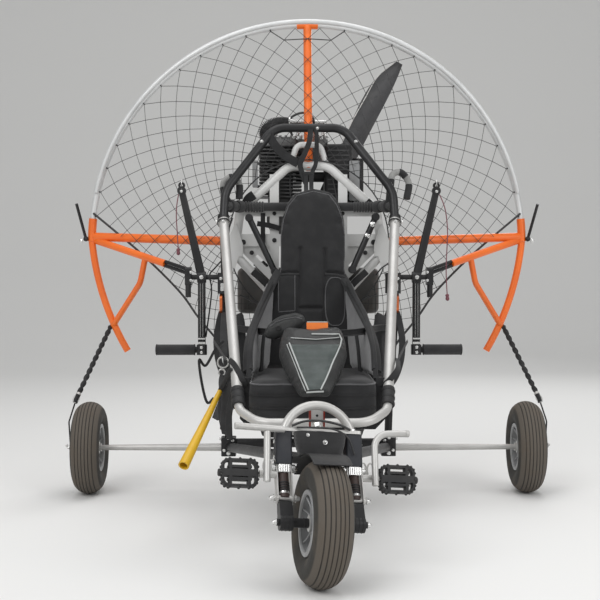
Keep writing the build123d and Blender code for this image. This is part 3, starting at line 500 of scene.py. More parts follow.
def tyre_profile():
    """(across, radius, dust and painted light) over the tyre from bead to bead; the last is 1 on the rib tops, 0
    in the grooves and fades down the walls.
    """
    profile = []
    for i in range(-2 * crown_half, 2 * crown_half + 1):
        across = i / 2
        crown = tyre_radius - crown_radius + sqrt(crown_radius**2 - across**2)
        cut = max(0.0, 1 - min(abs(across - g) for g in groove_places) / groove_half)
        depth = groove_depth * min(1.0, 1.7 * cut)
        # The third value is 1 on the rib tops and 0 in the grooves: painted light on the ribs and painted shade in
        # the grooves, with some dust.
        profile.append((across, crown - depth, 1 - min(1.0, 1.7 * cut)))
    wall = []
    for i in range(1, 13):
        t = i / 12
        across = crown_half + 10 * sin(pi * t) ** 0.8 * (1 - 0.25 * t) - 6 * t
        radius = tyre_radius - crown_fall - (tyre_radius - crown_fall - 77) * t
        ring = 0.8 if i in (3, 10) else 0.0
        # The walls carry a little of the dust and painted light, fading to none at the bead.
        wall.append((min(across + ring, 48.6), radius, 0.25 * (1 - t)))
    left = [(-across, radius, dust_and_painted_light) for across, radius, dust_and_painted_light in reversed(wall)]
    return left + profile + wall


def tyre(name, hub, axle, body, node):
    """A ribbed tyre turned round its own axle."""
    up = (Z - axle * Z.dot(axle)).normalized()
    side = axle.cross(up)
    form = bmesh.new()
    dust_and_painted_light = form.verts.layers.float.new("dust_and_painted_light")
    sides = 96
    rings = []
    for across, radius, dust_and_light_amount in tyre_profile():
        ring = []
        for angle in turns(sides):
            spot = form.verts.new(
                hub + (axle * across + (up * cos(angle) + side * sin(angle)) * radius) / 1000
            )
            # Each corner keeps the tyre's dust and painted light for the finish to read.
            spot[dust_and_painted_light] = dust_and_light_amount
            ring.append(spot)
        rings.append(ring)
    for first, second in zip(rings, rings[1:]):
        for k in range(sides):
            form.faces.new((first[k], first[(k + 1) % sides], second[(k + 1) % sides], second[k]))
    piece = make(form, name, "tyre", body, 60)
    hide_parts(node)
    return piece


wheels = (
    ("front", front_hub, fork_across, "front_wheel", "front_tyre"),
    ("rear_left", rear_axle, X, "rear_wheel_left", "rear_tyre_left"),
    (
        "rear_right", Vector((-rear_axle.x, rear_axle.y, rear_axle.z)), X, "rear_wheel_right",
        "rear_tyre_right"
    ),
)
for word, hub, axle, body, node in wheels:
    tyre(f"tyre_{word}", hub, axle, body, node)
    fittings = bmesh.new()
    for i in range(5):
        up = (Z - axle * Z.dot(axle)).normalized()
        angle = 2 * pi * (i + 0.5) / 5
        spoke = up * cos(angle) + axle.cross(up) * sin(angle)
        for face in (-1, 1):
            screw(fittings, hub + spoke * 0.046 + axle * face * 0.0045, axle * face, 8)
    rod(fittings, hub + up * 0.03 + axle * 0.005, hub + up * 0.045 + axle * 0.03, 2.6)
    for face in (-1, 1):
        lathe(
            fittings, hub + axle * face * 0.0315, axle * face, [(0, 19), (0.8, 19), (1.2, 16), (1.2, 10.5)],
            28
        )
    make(fittings, f"rim_fittings_{word}", "satin_silver", body)
    spokes = bmesh.new()
    for face in (-1, 1):
        for i, angle in enumerate(turns(10)):
            spoke = up * cos(angle) + axle.cross(up) * sin(angle)
            route = [
                hub + (spoke * radius + axle * face * across) / 1000
                for radius, across in ((18.5, 26), (40, 23), (67.5, 32))
            ]
            sweep(spokes, through(route, 4), flat(7 if i % 2 else 4, 4), up=axle)
        lathe(
            spokes, hub + axle * face * 0.035, axle * face, [(0, 65), (0, 70), (4.4, 70), (4.4, 67)], 48,
            closed=True
        )
    make(spokes, f"rim_spokes_{word}", "rim_plastic", body)

# Pull cords on the levers, with the routes of their solids, and their knots
cord_routes = {
    "left": ((-416, -100, 974), (-422, -101, 945), (-424, -102, 900), (-420, -101, 848), (-418, -100, 802)),
    "right": (
        (416, -100, 974), (430, -101, 947), (439, -102, 905), (443, -102, 855), (441, -101, 803),
        (438, -101, 751),
        (439, -100, 701), (442, -100, 656),
    ),
}
cord_diameter = 0.0035
for word, route in cord_routes.items():
    line = bpy.data.curves.new(f"pull_cord_{word}", "CURVE")
    line.dimensions = "3D"
    line.bevel_depth = cord_diameter / 2
    line.bevel_resolution = 3
    line.resolution_u = 10
    line.use_fill_caps = True
    spline = line.splines.new("NURBS")
    spline.points.add(len(route) - 1)
    for point, place in zip(spline.points, route):
        point.co = (*at(*place), 1)
    spline.order_u = 3
    spline.use_endpoint_u = True
    line.materials.append(finishes["cord_wine"].material)
    cord = bpy.data.objects.new(f"pull_cord_{word}", line)
    bpy.context.collection.objects.link(cord)
    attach(cord, f"lever_{word}")
    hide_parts(f"cord_{word}")
    end = at(*route[-1])
    hang = (end - at(*route[-2])).normalized()
    knot_form = bmesh.new()
    bulges = [
        (0, 2.4), (1.5, 5.2), (4, 6.2), (7, 5.6), (9, 4.6), (11, 5.6), (15, 6.3), (19, 5.4), (21, 3.2),
        (22, 1.6)
    ]
    lathe(knot_form, end, hang, bulges, 20)
    knot = make(knot_form, f"pull_knot_{word}", "cord_wine", f"lever_{word}")
    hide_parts(f"knot_{word}")

# Net: two families of spirals that cross the radius at 45 degrees, on the cone of the spokes
hoop_y, hoop_z, hoop_radius = 200, 830, 738
net_outer, net_inner = 727, 262
net_count = 54
net_pitch = 2 * pi / net_count
wing_inner, wing_outer = 246, 728
net_skip = net_pitch / 2
low_cord = (
    (-731, 189, 925), (-566, 140, 790), (-432, 92, 662), (-366, 66, 575), (-300, 28, 500), (-268, -37, 464)
)


def net_place(radius, angle):
    """A place on the net; the angle runs from the top of the hoop towards +X."""
    spoke = (min(radius, wing_outer) - wing_inner) / (wing_outer - wing_inner)
    front = 16 * min(1.0, (net_outer - radius) / 60)
    return at(radius * sin(angle), 12 + 188 * spoke - 6 - front, hoop_z + radius * cos(angle))


def above_low_cord(place):
    """Whether a place is above the cord that bounds the net below."""
    x, z = -abs(place.x) * 1000, place.z * 1000
    for (x1, _, z1), (x2, _, z2) in zip(low_cord, low_cord[1:]):
        if x1 <= x <= x2:
            return z > z1 + (z2 - z1) * (x - x1) / (x2 - x1)
    return z > low_cord[-1][2]


def low_cord_meeting(inside, outside):
    """Where a run of net crosses the cord below it."""
    for _ in range(12):
        middle = (inside + outside) / 2
        if above_low_cord(middle):
            inside = middle
        else:
            outside = middle
    return inside


net_runs = []
for start in range(net_count):
    for hand in (-1, 1):
        angle = (start + 0.5) * net_pitch
        top = abs((angle + pi) % (2 * pi) - pi) < net_pitch
        run = []
        radius, step = net_outer, 0
        while radius > net_inner:
            place = net_place(radius, angle + hand * step * net_skip)
            if above_low_cord(place):
                if not run and step:
                    below = net_place(radius * exp(net_skip), angle + hand * (step - 1) * net_skip)
                    run.append(low_cord_meeting(place, below))
                if not (top and step == 0):
                    run.append(place)
            elif run:
                run.append(low_cord_meeting(run[-1], place))
                net_runs.append(run)
                run = []
            step += 1
            radius = net_outer * exp(-step * net_skip)
        run.append(net_place(net_inner, angle + hand * log(net_outer / net_inner)))
        if len(run) > 1:
            net_runs.append(run)

cord_finish = Finish("net cord", (0.03, 0.03, 0.031), 0.7, edge=0.0)
cord_finish.tint(cord_finish.ramp(cord_finish.noise(120, 3), 0.4, 0.8), (0.07, 0.07, 0.07))
cord_finish.bump(cord_finish.stripes(700, "DIAGONAL"), 0.0003, 0.6)
net = bmesh.new()
for run in net_runs:
    sweep(net, run, circle(1.1, 4))
for place in {tuple(round(c, 4) for c in spot) for run in net_runs for spot in run[1:-1]}:
    lathe(net, Vector(place) - Y * 0.0016, Y, [(0, 0.8), (1.6, 2.0), (3.2, 0.8)], 5)
make(net, "net", cord_finish, "frame")

edge_cords = bmesh.new()
for side in (-1, 1):
    path = [at(side * x, y, z) for x, y, z in low_cord]
    sweep(edge_cords, through(path, 6), circle(3.8, 8))
low_end = at(*low_cord[-1])
low_z = low_cord[-1][2] - hoop_z
across_net = [net_place(hypot(x, low_z), atan2(x, low_z)) for x in range(-228, 229, 38)]
sweep(edge_cords, through([low_end] + across_net + [low_end - X * low_end.x * 2], 4), circle(2.6, 8))
top_path = [net_place(net_outer, -1.5 * net_pitch)]
top_path += [net_place(net_outer * exp(-net_skip), step * net_pitch) for step in (-1, 0, 1)]
top_path.append(net_place(net_outer, 1.5 * net_pitch))
sweep(edge_cords, top_path, circle(1.8, 8))
ring = [net_place(net_inner, net_pitch * i) for i in range(net_count)]
sweep(edge_cords, ring, circle(2.2, 8), closed=True)
make(edge_cords, "net_edge_cords", cord_finish, "frame")

# Holes and knots where the net is tied to the hoop
knots = bmesh.new()
for start in range(net_count):
    angle = (start + 0.5) * net_pitch
    turn = abs((angle + pi) % (2 * pi) - pi)
    if net_pitch < turn < radians(84):
        out = X * sin(angle) + Z * cos(angle)
        centre = at(0, hoop_y, hoop_z) + out * hoop_radius / 1000
        spot = centre - out * 0.0078 - Y * 0.0078
        lathe(knots, spot, -Y - out, [(-1, 2.8), (0.6, 2.8), (1.4, 1.6)], 10)
        sweep(knots, [spot, net_place(net_outer - 4, angle)], circle(1.0, 5))
make(knots, "hoop_knots", cord_finish, "frame")

# Soft goods: closed forms that the cloth solver swells, then sewn channels, patches and piping
def evaluated(piece):
    """A copy of a piece's mesh with its modifiers applied."""
    bpy.context.view_layer.update()
    graph = bpy.context.evaluated_depsgraph_get()
    return bpy.data.meshes.new_from_object(piece.evaluated_get(graph))


def swell(form, name, finish, cap, voxel=0.006, pressure=4.0, body="frame"):
    """Remeshes a closed form, swells it as cloth by up to cap metres and smooths it once."""
    bmesh.ops.recalc_face_normals(form, faces=form.faces)
    mesh = bpy.data.meshes.new(name)
    form.to_mesh(mesh)
    form.free()
    piece = bpy.data.objects.new(name, mesh)
    bpy.context.collection.objects.link(piece)
    remesh = piece.modifiers.new("remesh", "REMESH")
    remesh.mode = "VOXEL"
    remesh.voxel_size = voxel
    piece.data = evaluated(piece)
    piece.modifiers.clear()
    starts = [spot.co.copy() for spot in piece.data.vertices]
    cloth = piece.modifiers.new("cloth", "CLOTH")
    cloth.settings.use_pressure = True
    cloth.settings.uniform_pressure_force = pressure
    cloth.settings.effector_weights.gravity = 0
    for number in range(1, 21):
        bpy.context.scene.frame_set(number)
    swollen = evaluated(piece)
    piece.modifiers.clear()
    for spot, start in zip(swollen.vertices, starts):
        shift = spot.co - start
        if shift.length > cap:
            spot.co = start + shift * (cap / shift.length)
    piece.data = swollen
    bpy.context.scene.frame_set(1)
    smooth = piece.modifiers.new("smooth", "SUBSURF")
    smooth.levels = smooth.render_levels = 1
    piece.data = evaluated(piece)
    piece.modifiers.clear()
    piece.data.materials.clear()
    piece.data.materials.append(finishes[finish].material)
    piece.data.polygons.foreach_set("use_smooth", [True] * len(piece.data.polygons))
    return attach(piece, body)


def gap_to(x, z, line):
    """The distance in millimetres from a place to a line, seen from the front."""
    nearest = 1e9
    for (x1, z1), (x2, z2) in zip(line, line[1:]):
        dx, dz = x2 - x1, z2 - z1
        t = max(0.0, min(1.0, ((x - x1) * dx + (z - z1) * dz) / (dx * dx + dz * dz)))
        nearest = min(nearest, hypot(x - x1 - dx * t, z - z1 - dz * t))
    return nearest


def press(piece, lines, depth, width):
    """Pulls the front of a pad back along sewn lines of (x, z), by depth over a width, in millimetres."""
    for spot, normal in zip(piece.data.vertices, [n.vector.copy() for n in piece.data.vertex_normals]):
        if normal.y < 0.2:
            x, z = spot.co.x * 1000, spot.co.z * 1000
            near = min(gap_to(x, z, line) for line in lines)
            if near < width * 3:
                spot.co.y += depth * exp(-((near / width) ** 2)) / 1000


def surface(piece):
    """What rays can be cast at, made from a piece's mesh."""
    mesh = piece.data
    return BVHTree.FromPolygons(
        [spot.co for spot in mesh.vertices], [list(face.vertices) for face in mesh.polygons]
    )


def laid(tree, points, lift=1.0):
    """Points of (x, z) in millimetres, laid on the front of a surface and lifted off it."""
    path = []
    for x, z in points:
        hit, normal, _, _ = tree.ray_cast(at(x, -1600, z), Y)
        if hit is not None:
            path.append(hit + normal * lift / 1000)
    return path


def dense(points, step=8.0):
    """A line of (x, z) with points about step millimetres apart."""
    line = []
    for (x1, z1), (x2, z2) in zip(points, points[1:]):
        count = max(1, int(hypot(x2 - x1, z2 - z1) / step))
        line += [(x1 + (x2 - x1) * i / count, z1 + (z2 - z1) * i / count) for i in range(count)]
    return line + [points[-1]]


def piping(form, tree, points, radius, lift=0.6):
    """A thin cord sewn along a line of (x, z) on a surface."""
    path = laid(tree, dense(points), lift)
    if len(path) > 1:
        sweep(form, path, circle(radius, 8))


def patch(tree, low_left, low_right, high_right, high_left, columns, rows, lift, ripple=0.0):
    """A cloth patch between four (x, z) corners, laid on a surface with small cross ripples."""
    form = bmesh.new()
    grid = []
    for row in range(rows + 1):
        t = row / rows
        left = [a + (b - a) * t for a, b in zip(low_left, high_left)]
        right = [a + (b - a) * t for a, b in zip(low_right, high_right)]
        places = [
            (left[0] + (right[0] - left[0]) * i / columns, left[1] + (right[1] - left[1]) * i / columns)
            for i in range(columns + 1)
        ]
        wave = ripple * (sin(t * 41) + 0.6 * sin(t * 67 + 1.3))
        grid.append([form.verts.new(spot) for spot in laid(tree, places, lift + wave)])
    for first, second in zip(grid, grid[1:]):
        for i in range(columns):
            form.faces.new((first[i], first[i + 1], second[i + 1], second[i]))
    bmesh.ops.solidify(form, geom=form.faces[:], thickness=0.001)
    return form


def oval(cx, cz, half_width, half_height, power=2.6, count=40):
    """A rounded outline of (x, z) pairs."""
    outline = []
    for angle in turns(count):
        c, s = cos(angle), sin(angle)
        outline.append(
            (
                cx + half_width * abs(c) ** (2 / power) * (1 if c > 0 else -1),
                cz + half_height * abs(s) ** (2 / power) * (1 if s > 0 else -1),
            )
        )
    return outline


# Back pad: a head that bulges over the padded bar and a body with two long seams
pad_tilt = radians(8)
pad_low = 434
pad_up = Vector((0, sin(pad_tilt), cos(pad_tilt)))
pad_outline = (
    (-158, 406), (-156, 520), (-146, 600), (-126, 664), (-110, 704), (-101, 742), (-100, 790), (-100, 850),
    (-92, 904), (-74, 950), (-44, 984), (14, 998), (70, 986), (98, 952), (117, 906), (124, 856), (124, 790),
    (121, 742), (130, 704), (144, 660), (158, 600), (164, 520), (166, 406),
)
pad_back = -33.6 - (938 - pad_low) * tan(pad_tilt)
form = bmesh.new()
plate(
    form,
    [(x, (z - pad_low) / cos(pad_tilt)) for x, z in pad_outline],
    at(0, pad_back - 9, pad_low),
    X,
    pad_up,
    40,
)
back_pad = swell(form, "back_pad_cover", "harness_black", 0.011)
pad_seams = (
    ((-28, 800), (-30, 716), (-38, 600), (-40, 470)),
    ((50, 797), (48, 717), (45, 600), (44, 470)),
    ((-112, 716), (-70, 724), (-31, 723)),
    ((49, 724), (90, 722), (128, 711)),
    ((-38, 612), (45, 612)),
)
press(back_pad, pad_seams, 9.0, 6.0)
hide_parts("back_pad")
pad_face = surface(back_pad)
stitching = bmesh.new()
pad_rim = dense([(x * 0.9 + 1, pad_low + (z - pad_low) * 0.98 - 2) for x, z in pad_outline[4:-4]], 9)
piping(stitching, pad_face, pad_rim, 1.6, 0.4)
piping(stitching, pad_face, ((-98, 712), (-98, 604)), 1.5)
piping(stitching, pad_face, ((-46, 716), (-46, 604), (-98, 600)), 1.5)
piping(stitching, pad_face, oval(82, 633, 31, 76, 3.0) + [(113, 633)], 1.7, 0.8)
make(stitching, "back_pad_piping", "harness_grey_edge", "frame")
shoulder_lips = bmesh.new()
for lip in (((-112, 713), (-70, 719), (-33, 718)), ((50, 719), (88, 716), (128, 703))):
    path = laid(pad_face, dense(lip), -1.0)
    sweep(shoulder_lips, path, circle(5.5, 10))
make(shoulder_lips, "shoulder_lips", "harness_black", "frame")

# Seat cushion: a firm board pad with cloth pulled tight round its front
form = bmesh.new()
outline = rounded(370, 452, 48, 6)
plate(form, outline, at(0, -415, 311), X, Y, 110)
cushion = swell(form, "seat_cushion_cover", "harness_black", 0.009, 0.008)
for spot in cushion.data.vertices:
    place = spot.co * 1000
    front = max(0.0, min(1.0, (rear_axle.y * 1000 - 560 - place.y) / 50))
    pull = sin((place.z - 303) * 0.19 + 0.9 * sin(place.x * 0.013 + 0.7))
    spot.co.y += front * pull * 0.0022 * (0.6 + 0.4 * sin(place.x * 0.03))
    spot.co.z += front * 0.0012 * noise.noise(Vector((place.x * 0.008, 0, place.z * 0.06)))
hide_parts("seat_cushion")
cushion_side = surface(cushion)


def cushion_line(height, lift):
    """A closed line round the cushion's side at a height, lifted off the cloth."""
    path = []
    for x, y in dense(rounded(440, 530, 60, 4) + [(220, 205)], 14):
        hit, normal, _, _ = cushion_side.ray_cast(
            at(x, -415 + y, height), at(0, -415, height) - at(x, -415 + y, height)
        )
        if hit is not None:
            path.append(hit + normal * lift / 1000)
    return path[:-1]


cushion_trim = bmesh.new()
sweep(cushion_trim, cushion_line(417, 0.8), circle(2.4, 8), closed=True)
make(cushion_trim, "cushion_piping", "harness_grey_edge", "frame")
cushion_bands = bmesh.new()
for height in (352, 388):
    sweep(cushion_bands, cushion_line(height, 0.3), flat(1.6, 6), up=Z, closed=True)
make(cushion_bands, "cushion_seams", "black_webbing", "frame")

# Side walls: grey padded cloth from the pad's shoulders down to the seat, edged in black
wall_rear = (
    (108, -112, 694), (114, -120, 640), (120, -128, 590), (124, -138, 530), (128, -152, 480),
    (132, -176, 420)
)
wall_front = (
    (120, -150, 694), (141, -205, 646), (163, -290, 598), (174, -390, 545), (179, -470, 500),
    (180, -540, 422)
)
for side, word in ((-1, "left"), (1, "right")):
    rear = trail(wall_rear, 6, side)
    front = trail(wall_front, 6, side)
    form = bmesh.new()
    layers = []
    for shift in (-4.5, 4.5):
        rows = []
        for back, fore in zip(rear, front):
            row = []
            for i in range(13):
                t = i / 12
                spot = back.lerp(fore, t)
                bow = sin(pi * t) * 0.012
                row.append(form.verts.new(spot + X * side * (bow + shift / 1000)))
            rows.append(row)
        layers.append(rows)
    for rows in layers:
        for first, second in zip(rows, rows[1:]):
            for i in range(12):
                form.faces.new((first[i], first[i + 1], second[i + 1], second[i]))
    inner, outer = layers
    rim = inner[0] + [row[-1] for row in inner[1:]] + inner[-1][-2::-1] + [row[0] for row in inner[-2:0:-1]]
    far = outer[0] + [row[-1] for row in outer[1:]] + outer[-1][-2::-1] + [row[0] for row in outer[-2:0:-1]]
    for i in range(len(rim)):
        k = (i + 1) % len(rim)
        form.faces.new((rim[i], rim[k], far[k], far[i]))
    wall = swell(form, f"side_wall_{word}", "harness_grey", 0.006, 0.005)
    edging = bmesh.new()
    band = [spot + Vector((side * 0.001, -0.004, 0.003)) for spot in front]
    sweep(edging, band, flat(15, 9), up=-Y)
    seam = [back.lerp(fore, 0.42) - X * side * 0.002 for back, fore in zip(rear[17:], front[17:])]
    sweep(edging, seam, flat(13, 15), up=-Y)
    make(edging, f"side_wall_edging_{word}", "harness_black", "frame")
    wing = [(94, -94, 730), (114, -120, 698), (138, -186, 646), (160, -278, 594), (177, -374, 550)]
    wing += [(185, -458, 502), (184, -520, 446)]
    wings = bmesh.new()
    outward = Vector((side * 0.55, -1, 0.25)).normalized()
    sweep(wings, trail(wing, 8, side), rounded(30, 13, 5, 3), up=outward)
    make(wings, f"hip_wing_{word}", "harness_black", "frame")
    bolster = [(232, -132, 590), (226, -170, 545), (222, -220, 495), (218, -290, 445), (208, -360, 398)]
    form = bmesh.new()
    sweep(
        form, trail(bolster, 8, side), rounded(50, 20, 9, 4), up=outward,
        scale=lambda t: 0.7 + 0.45 * sin(pi * min(1.0, 0.15 + t)),
    )
    bolster_cover = swell(form, f"hip_bolster_{word}", "harness_black", 0.006, 0.005)
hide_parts("side_panels")

# Reserve container: a swollen wedge over the cushion's front edge, with its framed window and tab
container_rows = (
    (-470, 560, 172, 46), (-505, 536, 190, 56), (-545, 508, 196, 60), (-590, 474, 172, 56),
    (-640, 440, 132, 48),
    (-685, 408, 96, 36), (-700, 396, 84, 24),
)
form = bmesh.new()
slope = Vector((0, -250, -175)).normalized()
rise = X.cross(slope).normalized() * -1
if rise.z < 0:
    rise = -rise
rings = []
for y, z, width, height in container_rows:
    ring = []
    for x, lift in rounded(width, height, min(height, width) * 0.42, 5):
        crown = 5 * (1 - (2 * x / width) ** 2) if lift > 0 else 0
        ring.append(form.verts.new(at(x + 2, y, z) + rise * (lift + crown - height / 2 + 14) / 1000))
    rings.append(ring)
for first, second in zip(rings, rings[1:]):
    for i in range(len(first)):
        k = (i + 1) % len(first)
        form.faces.new((first[i], first[k], second[k], second[i]))
form.faces.new(rings[0])
form.faces.new(list(reversed(rings[-1])))
container = swell(form, "reserve_container_cover", "container_black", 0.007, 0.0055)
press(container, (((-60, 538), (10, 533), (78, 538)),), 6, 6)
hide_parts("reserve_container")
container_face = surface(container)
window = patch(container_face, (-13, 411), (18, 412), (76, 524), (-62, 524), 16, 34, 1.2, 0.5)
make(window, "container_window", "window_cloth", "frame")
silver = bmesh.new()
piping(silver, container_face, ((-65, 527), (-15, 410)), 2.4, 1.5)
piping(silver, container_face, ((-72, 523), (-22, 407)), 1.5, 1.0)
piping(silver, container_face, ((-20, 404), (27, 406)), 2.4, 1.5)
piping(silver, container_face, ((19, 411), (78, 520), (84, 535), (76, 550), (-2, 551)), 2.4, 1.5)
piping(silver, container_face, ((-60, 541), (10, 537), (76, 542)), 1.4, 1.5)
make(silver, "container_piping", "piping_silver", "frame")
tab = bmesh.new()
plate(tab, rounded(62, 21, 2), at(15.5, -478, 573), X, Vector((0, 0.25, 1)).normalized(), 3)
make(tab, "container_tab", "tab_orange", "frame")
tab_edge = bmesh.new()
rod(tab_edge, at(-14, -478, 584), at(45, -478, 584), 1.6, 8)
make(tab_edge, "container_tab_edge", "piping_silver", "frame")

# Side pouch on the belt, left of the container
form = bmesh.new()
pouch_outline = (
    (-141, 546), (-132, 566), (-114, 586), (-88, 600), (-45, 609), (-22, 600), (-16, 582), (-30, 562),
    (-62, 548),
    (-84, 533), (-112, 529), (-134, 534),
)
plate(form, pouch_outline, at(0, -388, 0), X, Z, 26)
pouch = swell(form, "side_pouch", "container_black", 0.009, 0.005)
press(pouch, (((-116, 574), (-86, 588), (-46, 596)),), 3, 4)
pouch_face = surface(pouch)
pouch_trim = bmesh.new()
piping(pouch_trim, pouch_face, ((-121, 568), (-104, 581), (-80, 590), (-46, 595), (-28, 590)), 1.7, 1.0)
make(pouch_trim, "pouch_piping", "harness_grey_edge", "frame")
button = bmesh.new()
spot = laid(pouch_face, ((-97, 564),), 0)[0]
lathe(button, spot, -Y, [(-2, 9), (2.5, 9), (3.5, 7.5), (3.5, 5), (1.5, 4.5)], 20)
make(button, "pouch_button", "black_plastic", "frame")

# Belt and straps of the harness
straps = bmesh.new()
belt = [(-261, -146, 549), (-236, -186, 550), (-203, -240, 551), (-168, -310, 550), (-120, -372, 549)]
belt += [(-60, -430, 549), (0, -450, 549), (60, -440, 548)]
belt += [(120, -396, 549), (176, -330, 552), (206, -242, 554), (238, -188, 553), (261, -146, 551)]
sweep(straps, trail(belt), flat(2.6, 20), up=Z)
for side in (-1, 1):
    riser = [
        (268, -116, 600), (266, -126, 575), (262, -148, 530), (256, -176, 485), (248, -212, 440),
        (214, -256, 392)
    ]
    outer = [
        (278, -116, 600), (287, -138, 560), (292, -168, 505), (281, -208, 441), (252, -252, 388),
        (206, -282, 366)
    ]
    inner = [
        (258, -116, 600), (244, -122, 570), (228, -132, 540), (214, -160, 480), (208, -220, 420),
        (204, -256, 384)
    ]
    for route, width, thick in ((riser, 34, 5), (outer, 22, 4), (inner, 26, 4)):
        path = trail(route, 8, side)
        sweep(straps, path, flat(width, thick), up=Vector((side * 0.25, -1, 0.1)).normalized())
    wrap = [(246, -520, 478), (240, -575, 456), (222, -592, 434), (202, -588, 412), (190, -566, 396)]
    if side < 0:
        wrap = [(236, -539, 479), (222, -559, 468), (208, -578, 447), (196, -592, 421), (190, -566, 396)]
    sweep(straps, trail(wrap, 8, side), flat(17, 2.6), up=Vector((side * 0.2, -1, 0)))
    tail = [(246, -520, 478), (270, -420, 500), (292, -330, 520)]
    sweep(straps, trail(tail, 8, side), flat(9, 2), up=Vector((side * 0.4, -1, 0)))
for y, half in ((-560, 190), (-250, 189)):
    sling = [
        (-half - 1, y, 432), (-half - 2, y, 318), (-half + 14, y, 299.5), (half - 14, y, 299.5),
        (half + 2, y, 318)
    ]
    sling.append((half + 1, y, 432))
    sweep(straps, [at(*p) for p in sling], flat(2.6, 42), up=Y)
release = [(-268, -118, 598), (-266, -210, 560), (-262, -330, 505), (-260, -396, 478)]
sweep(straps, trail(release), flat(24, 4), up=-Y)
sweep(straps, trail(((-260, -404, 447), (-263, -420, 440))), flat(12, 3), up=-Y)
drop = [(-263, -424, 428), (-265, -460, 412), (-262, -504, 393)]
sweep(straps, trail(drop), flat(12, 3), up=-Y)
sweep(straps, [at(-230, -564, 456), at(-264, -509, 388)], flat(15, 8.6), up=-Y)
strap_cover = make(straps, "harness_webbing", "black_webbing", "frame")
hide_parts("harness_straps")
rings = bmesh.new()
for x, y, z, radius in ((-260, -412, 462, 16), (-263, -426, 434, 9)):
    loop = [at(x, y, z) + (X * cos(a) + Z * sin(a)) * radius / 1000 for a in turns(28)]
    sweep(rings, loop, circle(2.7, 8), closed=True)
make(rings, "release_rings", "satin_silver", "frame")

# Under-seat board with its cloth cover, and the webbing that hangs at the left corner
form = bmesh.new()
for low, high, width, depth in ((286, 297, 352, 400), (262, 288, 300, 330)):
    plate(form, rounded(width, depth, 60, 5), at(0, -400, low), X, Y, high - low)
under_seat = swell(form, "under_seat_cover", "harness_black", 0.004, 0.008)
bundle = bmesh.new()
hanging = (
    ((-226, -548, 412), (-244, -510, 384), (-252, -466, 326), (-258, -420, 262)),
    ((-216, -560, 402), (-230, -536, 366), (-240, -496, 306), (-240, -450, 240)),
    ((-252, -440, 400), (-266, -400, 360), (-272, -350, 300), (-264, -280, 232)),
)
for route, width in zip(hanging, (26, 20, 15)):
    sweep(bundle, trail(route), flat(width, 3), up=Vector((-0.3, -1, 0.2)).normalized())
loop = [(-262, -330, 520), (-284, -360, 500), (-312, -400, 452), (-330, -420, 470), (-322, -420, 400)]
loop += [(-306, -430, 346), (-286, -440, 360)]
sweep(bundle, trail(loop), flat(8, 2), up=Vector((0.2, -1, 0)).normalized())
make(bundle, "hanging_webbing", "black_webbing", "frame")

# Tube clamps, foot caps and frame bolts
metal = bmesh.new()
collars = bmesh.new()
loop_high, loop_low = Vector((272, -120, 889)), Vector((209, -620, 378))
for side in (-1, 1):
    high = at(side * loop_high.x, loop_high.y, loop_high.z)
    low = at(side * loop_low.x, loop_low.y, loop_low.z)
    along = (high - low).normalized()
    for drop, radius in ((10, 20.6), (-2, 19.6), (-16, 18.4)):
        lathe(
            collars, high - along * drop / 1000, along,
            [(-4, radius - 2), (-3, radius), (3, radius), (4, radius - 2)], 24
        )
    screw(metal, high - along * 0.004 + X * side * 0.021, X * side, 8)
    screw(metal, high - along * 0.004 - Y * 0.0208, -Y, 8)
    for shift in (-20, 0, 24):
        lathe(collars, low + along * shift / 1000, along, [(-5, 18.2), (-3, 19.6), (3, 19.6), (5, 18.2)], 24)
    for x, y, z, axis, size in (
        (262, -31, 186, -Y, 9), (262, -31, 134, -Y, 9), (287, 0, 178, X * side, 9), (248, -31, 176, -Y, 7),
        (276, -31, 144, -Y, 7),
    ):
        screw(metal, at(side * x, y, z), axis, size)
    for x, z, size in ((214, 823, 10), (186, 789, 8), (112, 917, 7), (112, 830, 8)):
        lathe(collars, at(side * x, 2, z), -Y, [(-3, size * 0.9), (3.5, size * 0.9), (4.5, size * 0.6)], 18)
    dome(metal, at(side * 785, 0, 150), X * side, 9)
    for x in (256, 280):
        screw(metal, at(side * x, -134, 706), -Y, 7)
    plate(metal, rounded(11, 25, 3), at(side * 276, -134, 679), X, Z, 2.5)
    dome(metal, at(side * 768, 188, 832), X * side, 13)
    dome(metal, at(side * 152, -52, 1147), -Y, 8)
    lathe(metal, at(side * 379.5, -100, 710), X * side, [(0, 11), (2, 11), (4, 9), (9, 9), (10, 7)], 20)
    for z in (700, 726):
        screw(metal, at(side * 376, -122, z), -Y, 6)
make(metal, "frame_bolts", "bright_metal", "frame")
make(collars, "tube_collars", "black_plastic", "frame")

# Ribbed boots on the padded bar, and the grey foam handles over its ends
boots = bmesh.new()
bar_y = -19.3
for side in (-1, 1):
    for i in range(7):
        place = at(side * (150 + 9 * i), bar_y, 938)
        lathe(boots, place, X, [(-4, 14.2), (-2.5, 17.6), (2.5, 17.6), (4, 14.2)], 20)
    for start, end, radius in (
        ((216, bar_y - 3, 938), (236, -46, 938), 19), ((244, -62, 938), (256, -84, 938), 20)
    ):
        first, last = at(side * start[0], *start[1:]), at(side * end[0], *end[1:])
        span = (last - first).length * 1000
        profile = [
            (0, radius - 4), (3, radius), (span * 0.5, radius + 1.5), (span - 3, radius), (span, radius - 4)
        ]
        lathe(boots, first, last - first, profile, 20)
make(boots, "bar_boots", "black_foam", "frame")
handles = {
    "left": (
        (-256, -84, 944), (-272, -72, 978), (-274, -62, 1014), (-249, -58, 1031), (-225, -60, 1010),
        (-224, -66, 962)
    ),
    "right": (
        (256, -84, 944), (262, -72, 1000), (270, -62, 1040), (298, -58, 1046), (322, -60, 1012),
        (314, -76, 962)
    ),
}
foam = bmesh.new()
bands = bmesh.new()
for word, route in handles.items():
    path = trail(route, 8)
    sweep(foam, path[2:-2], circle(10.5, 16))
    for start, end in ((0, 12), (22, 28), (33, 40)):
        sweep(bands, path[start:end + 1], circle(11.6, 16))
make(foam, "foam_handles", "grip_grey", "frame")
make(bands, "handle_bands", "black_webbing", "frame")

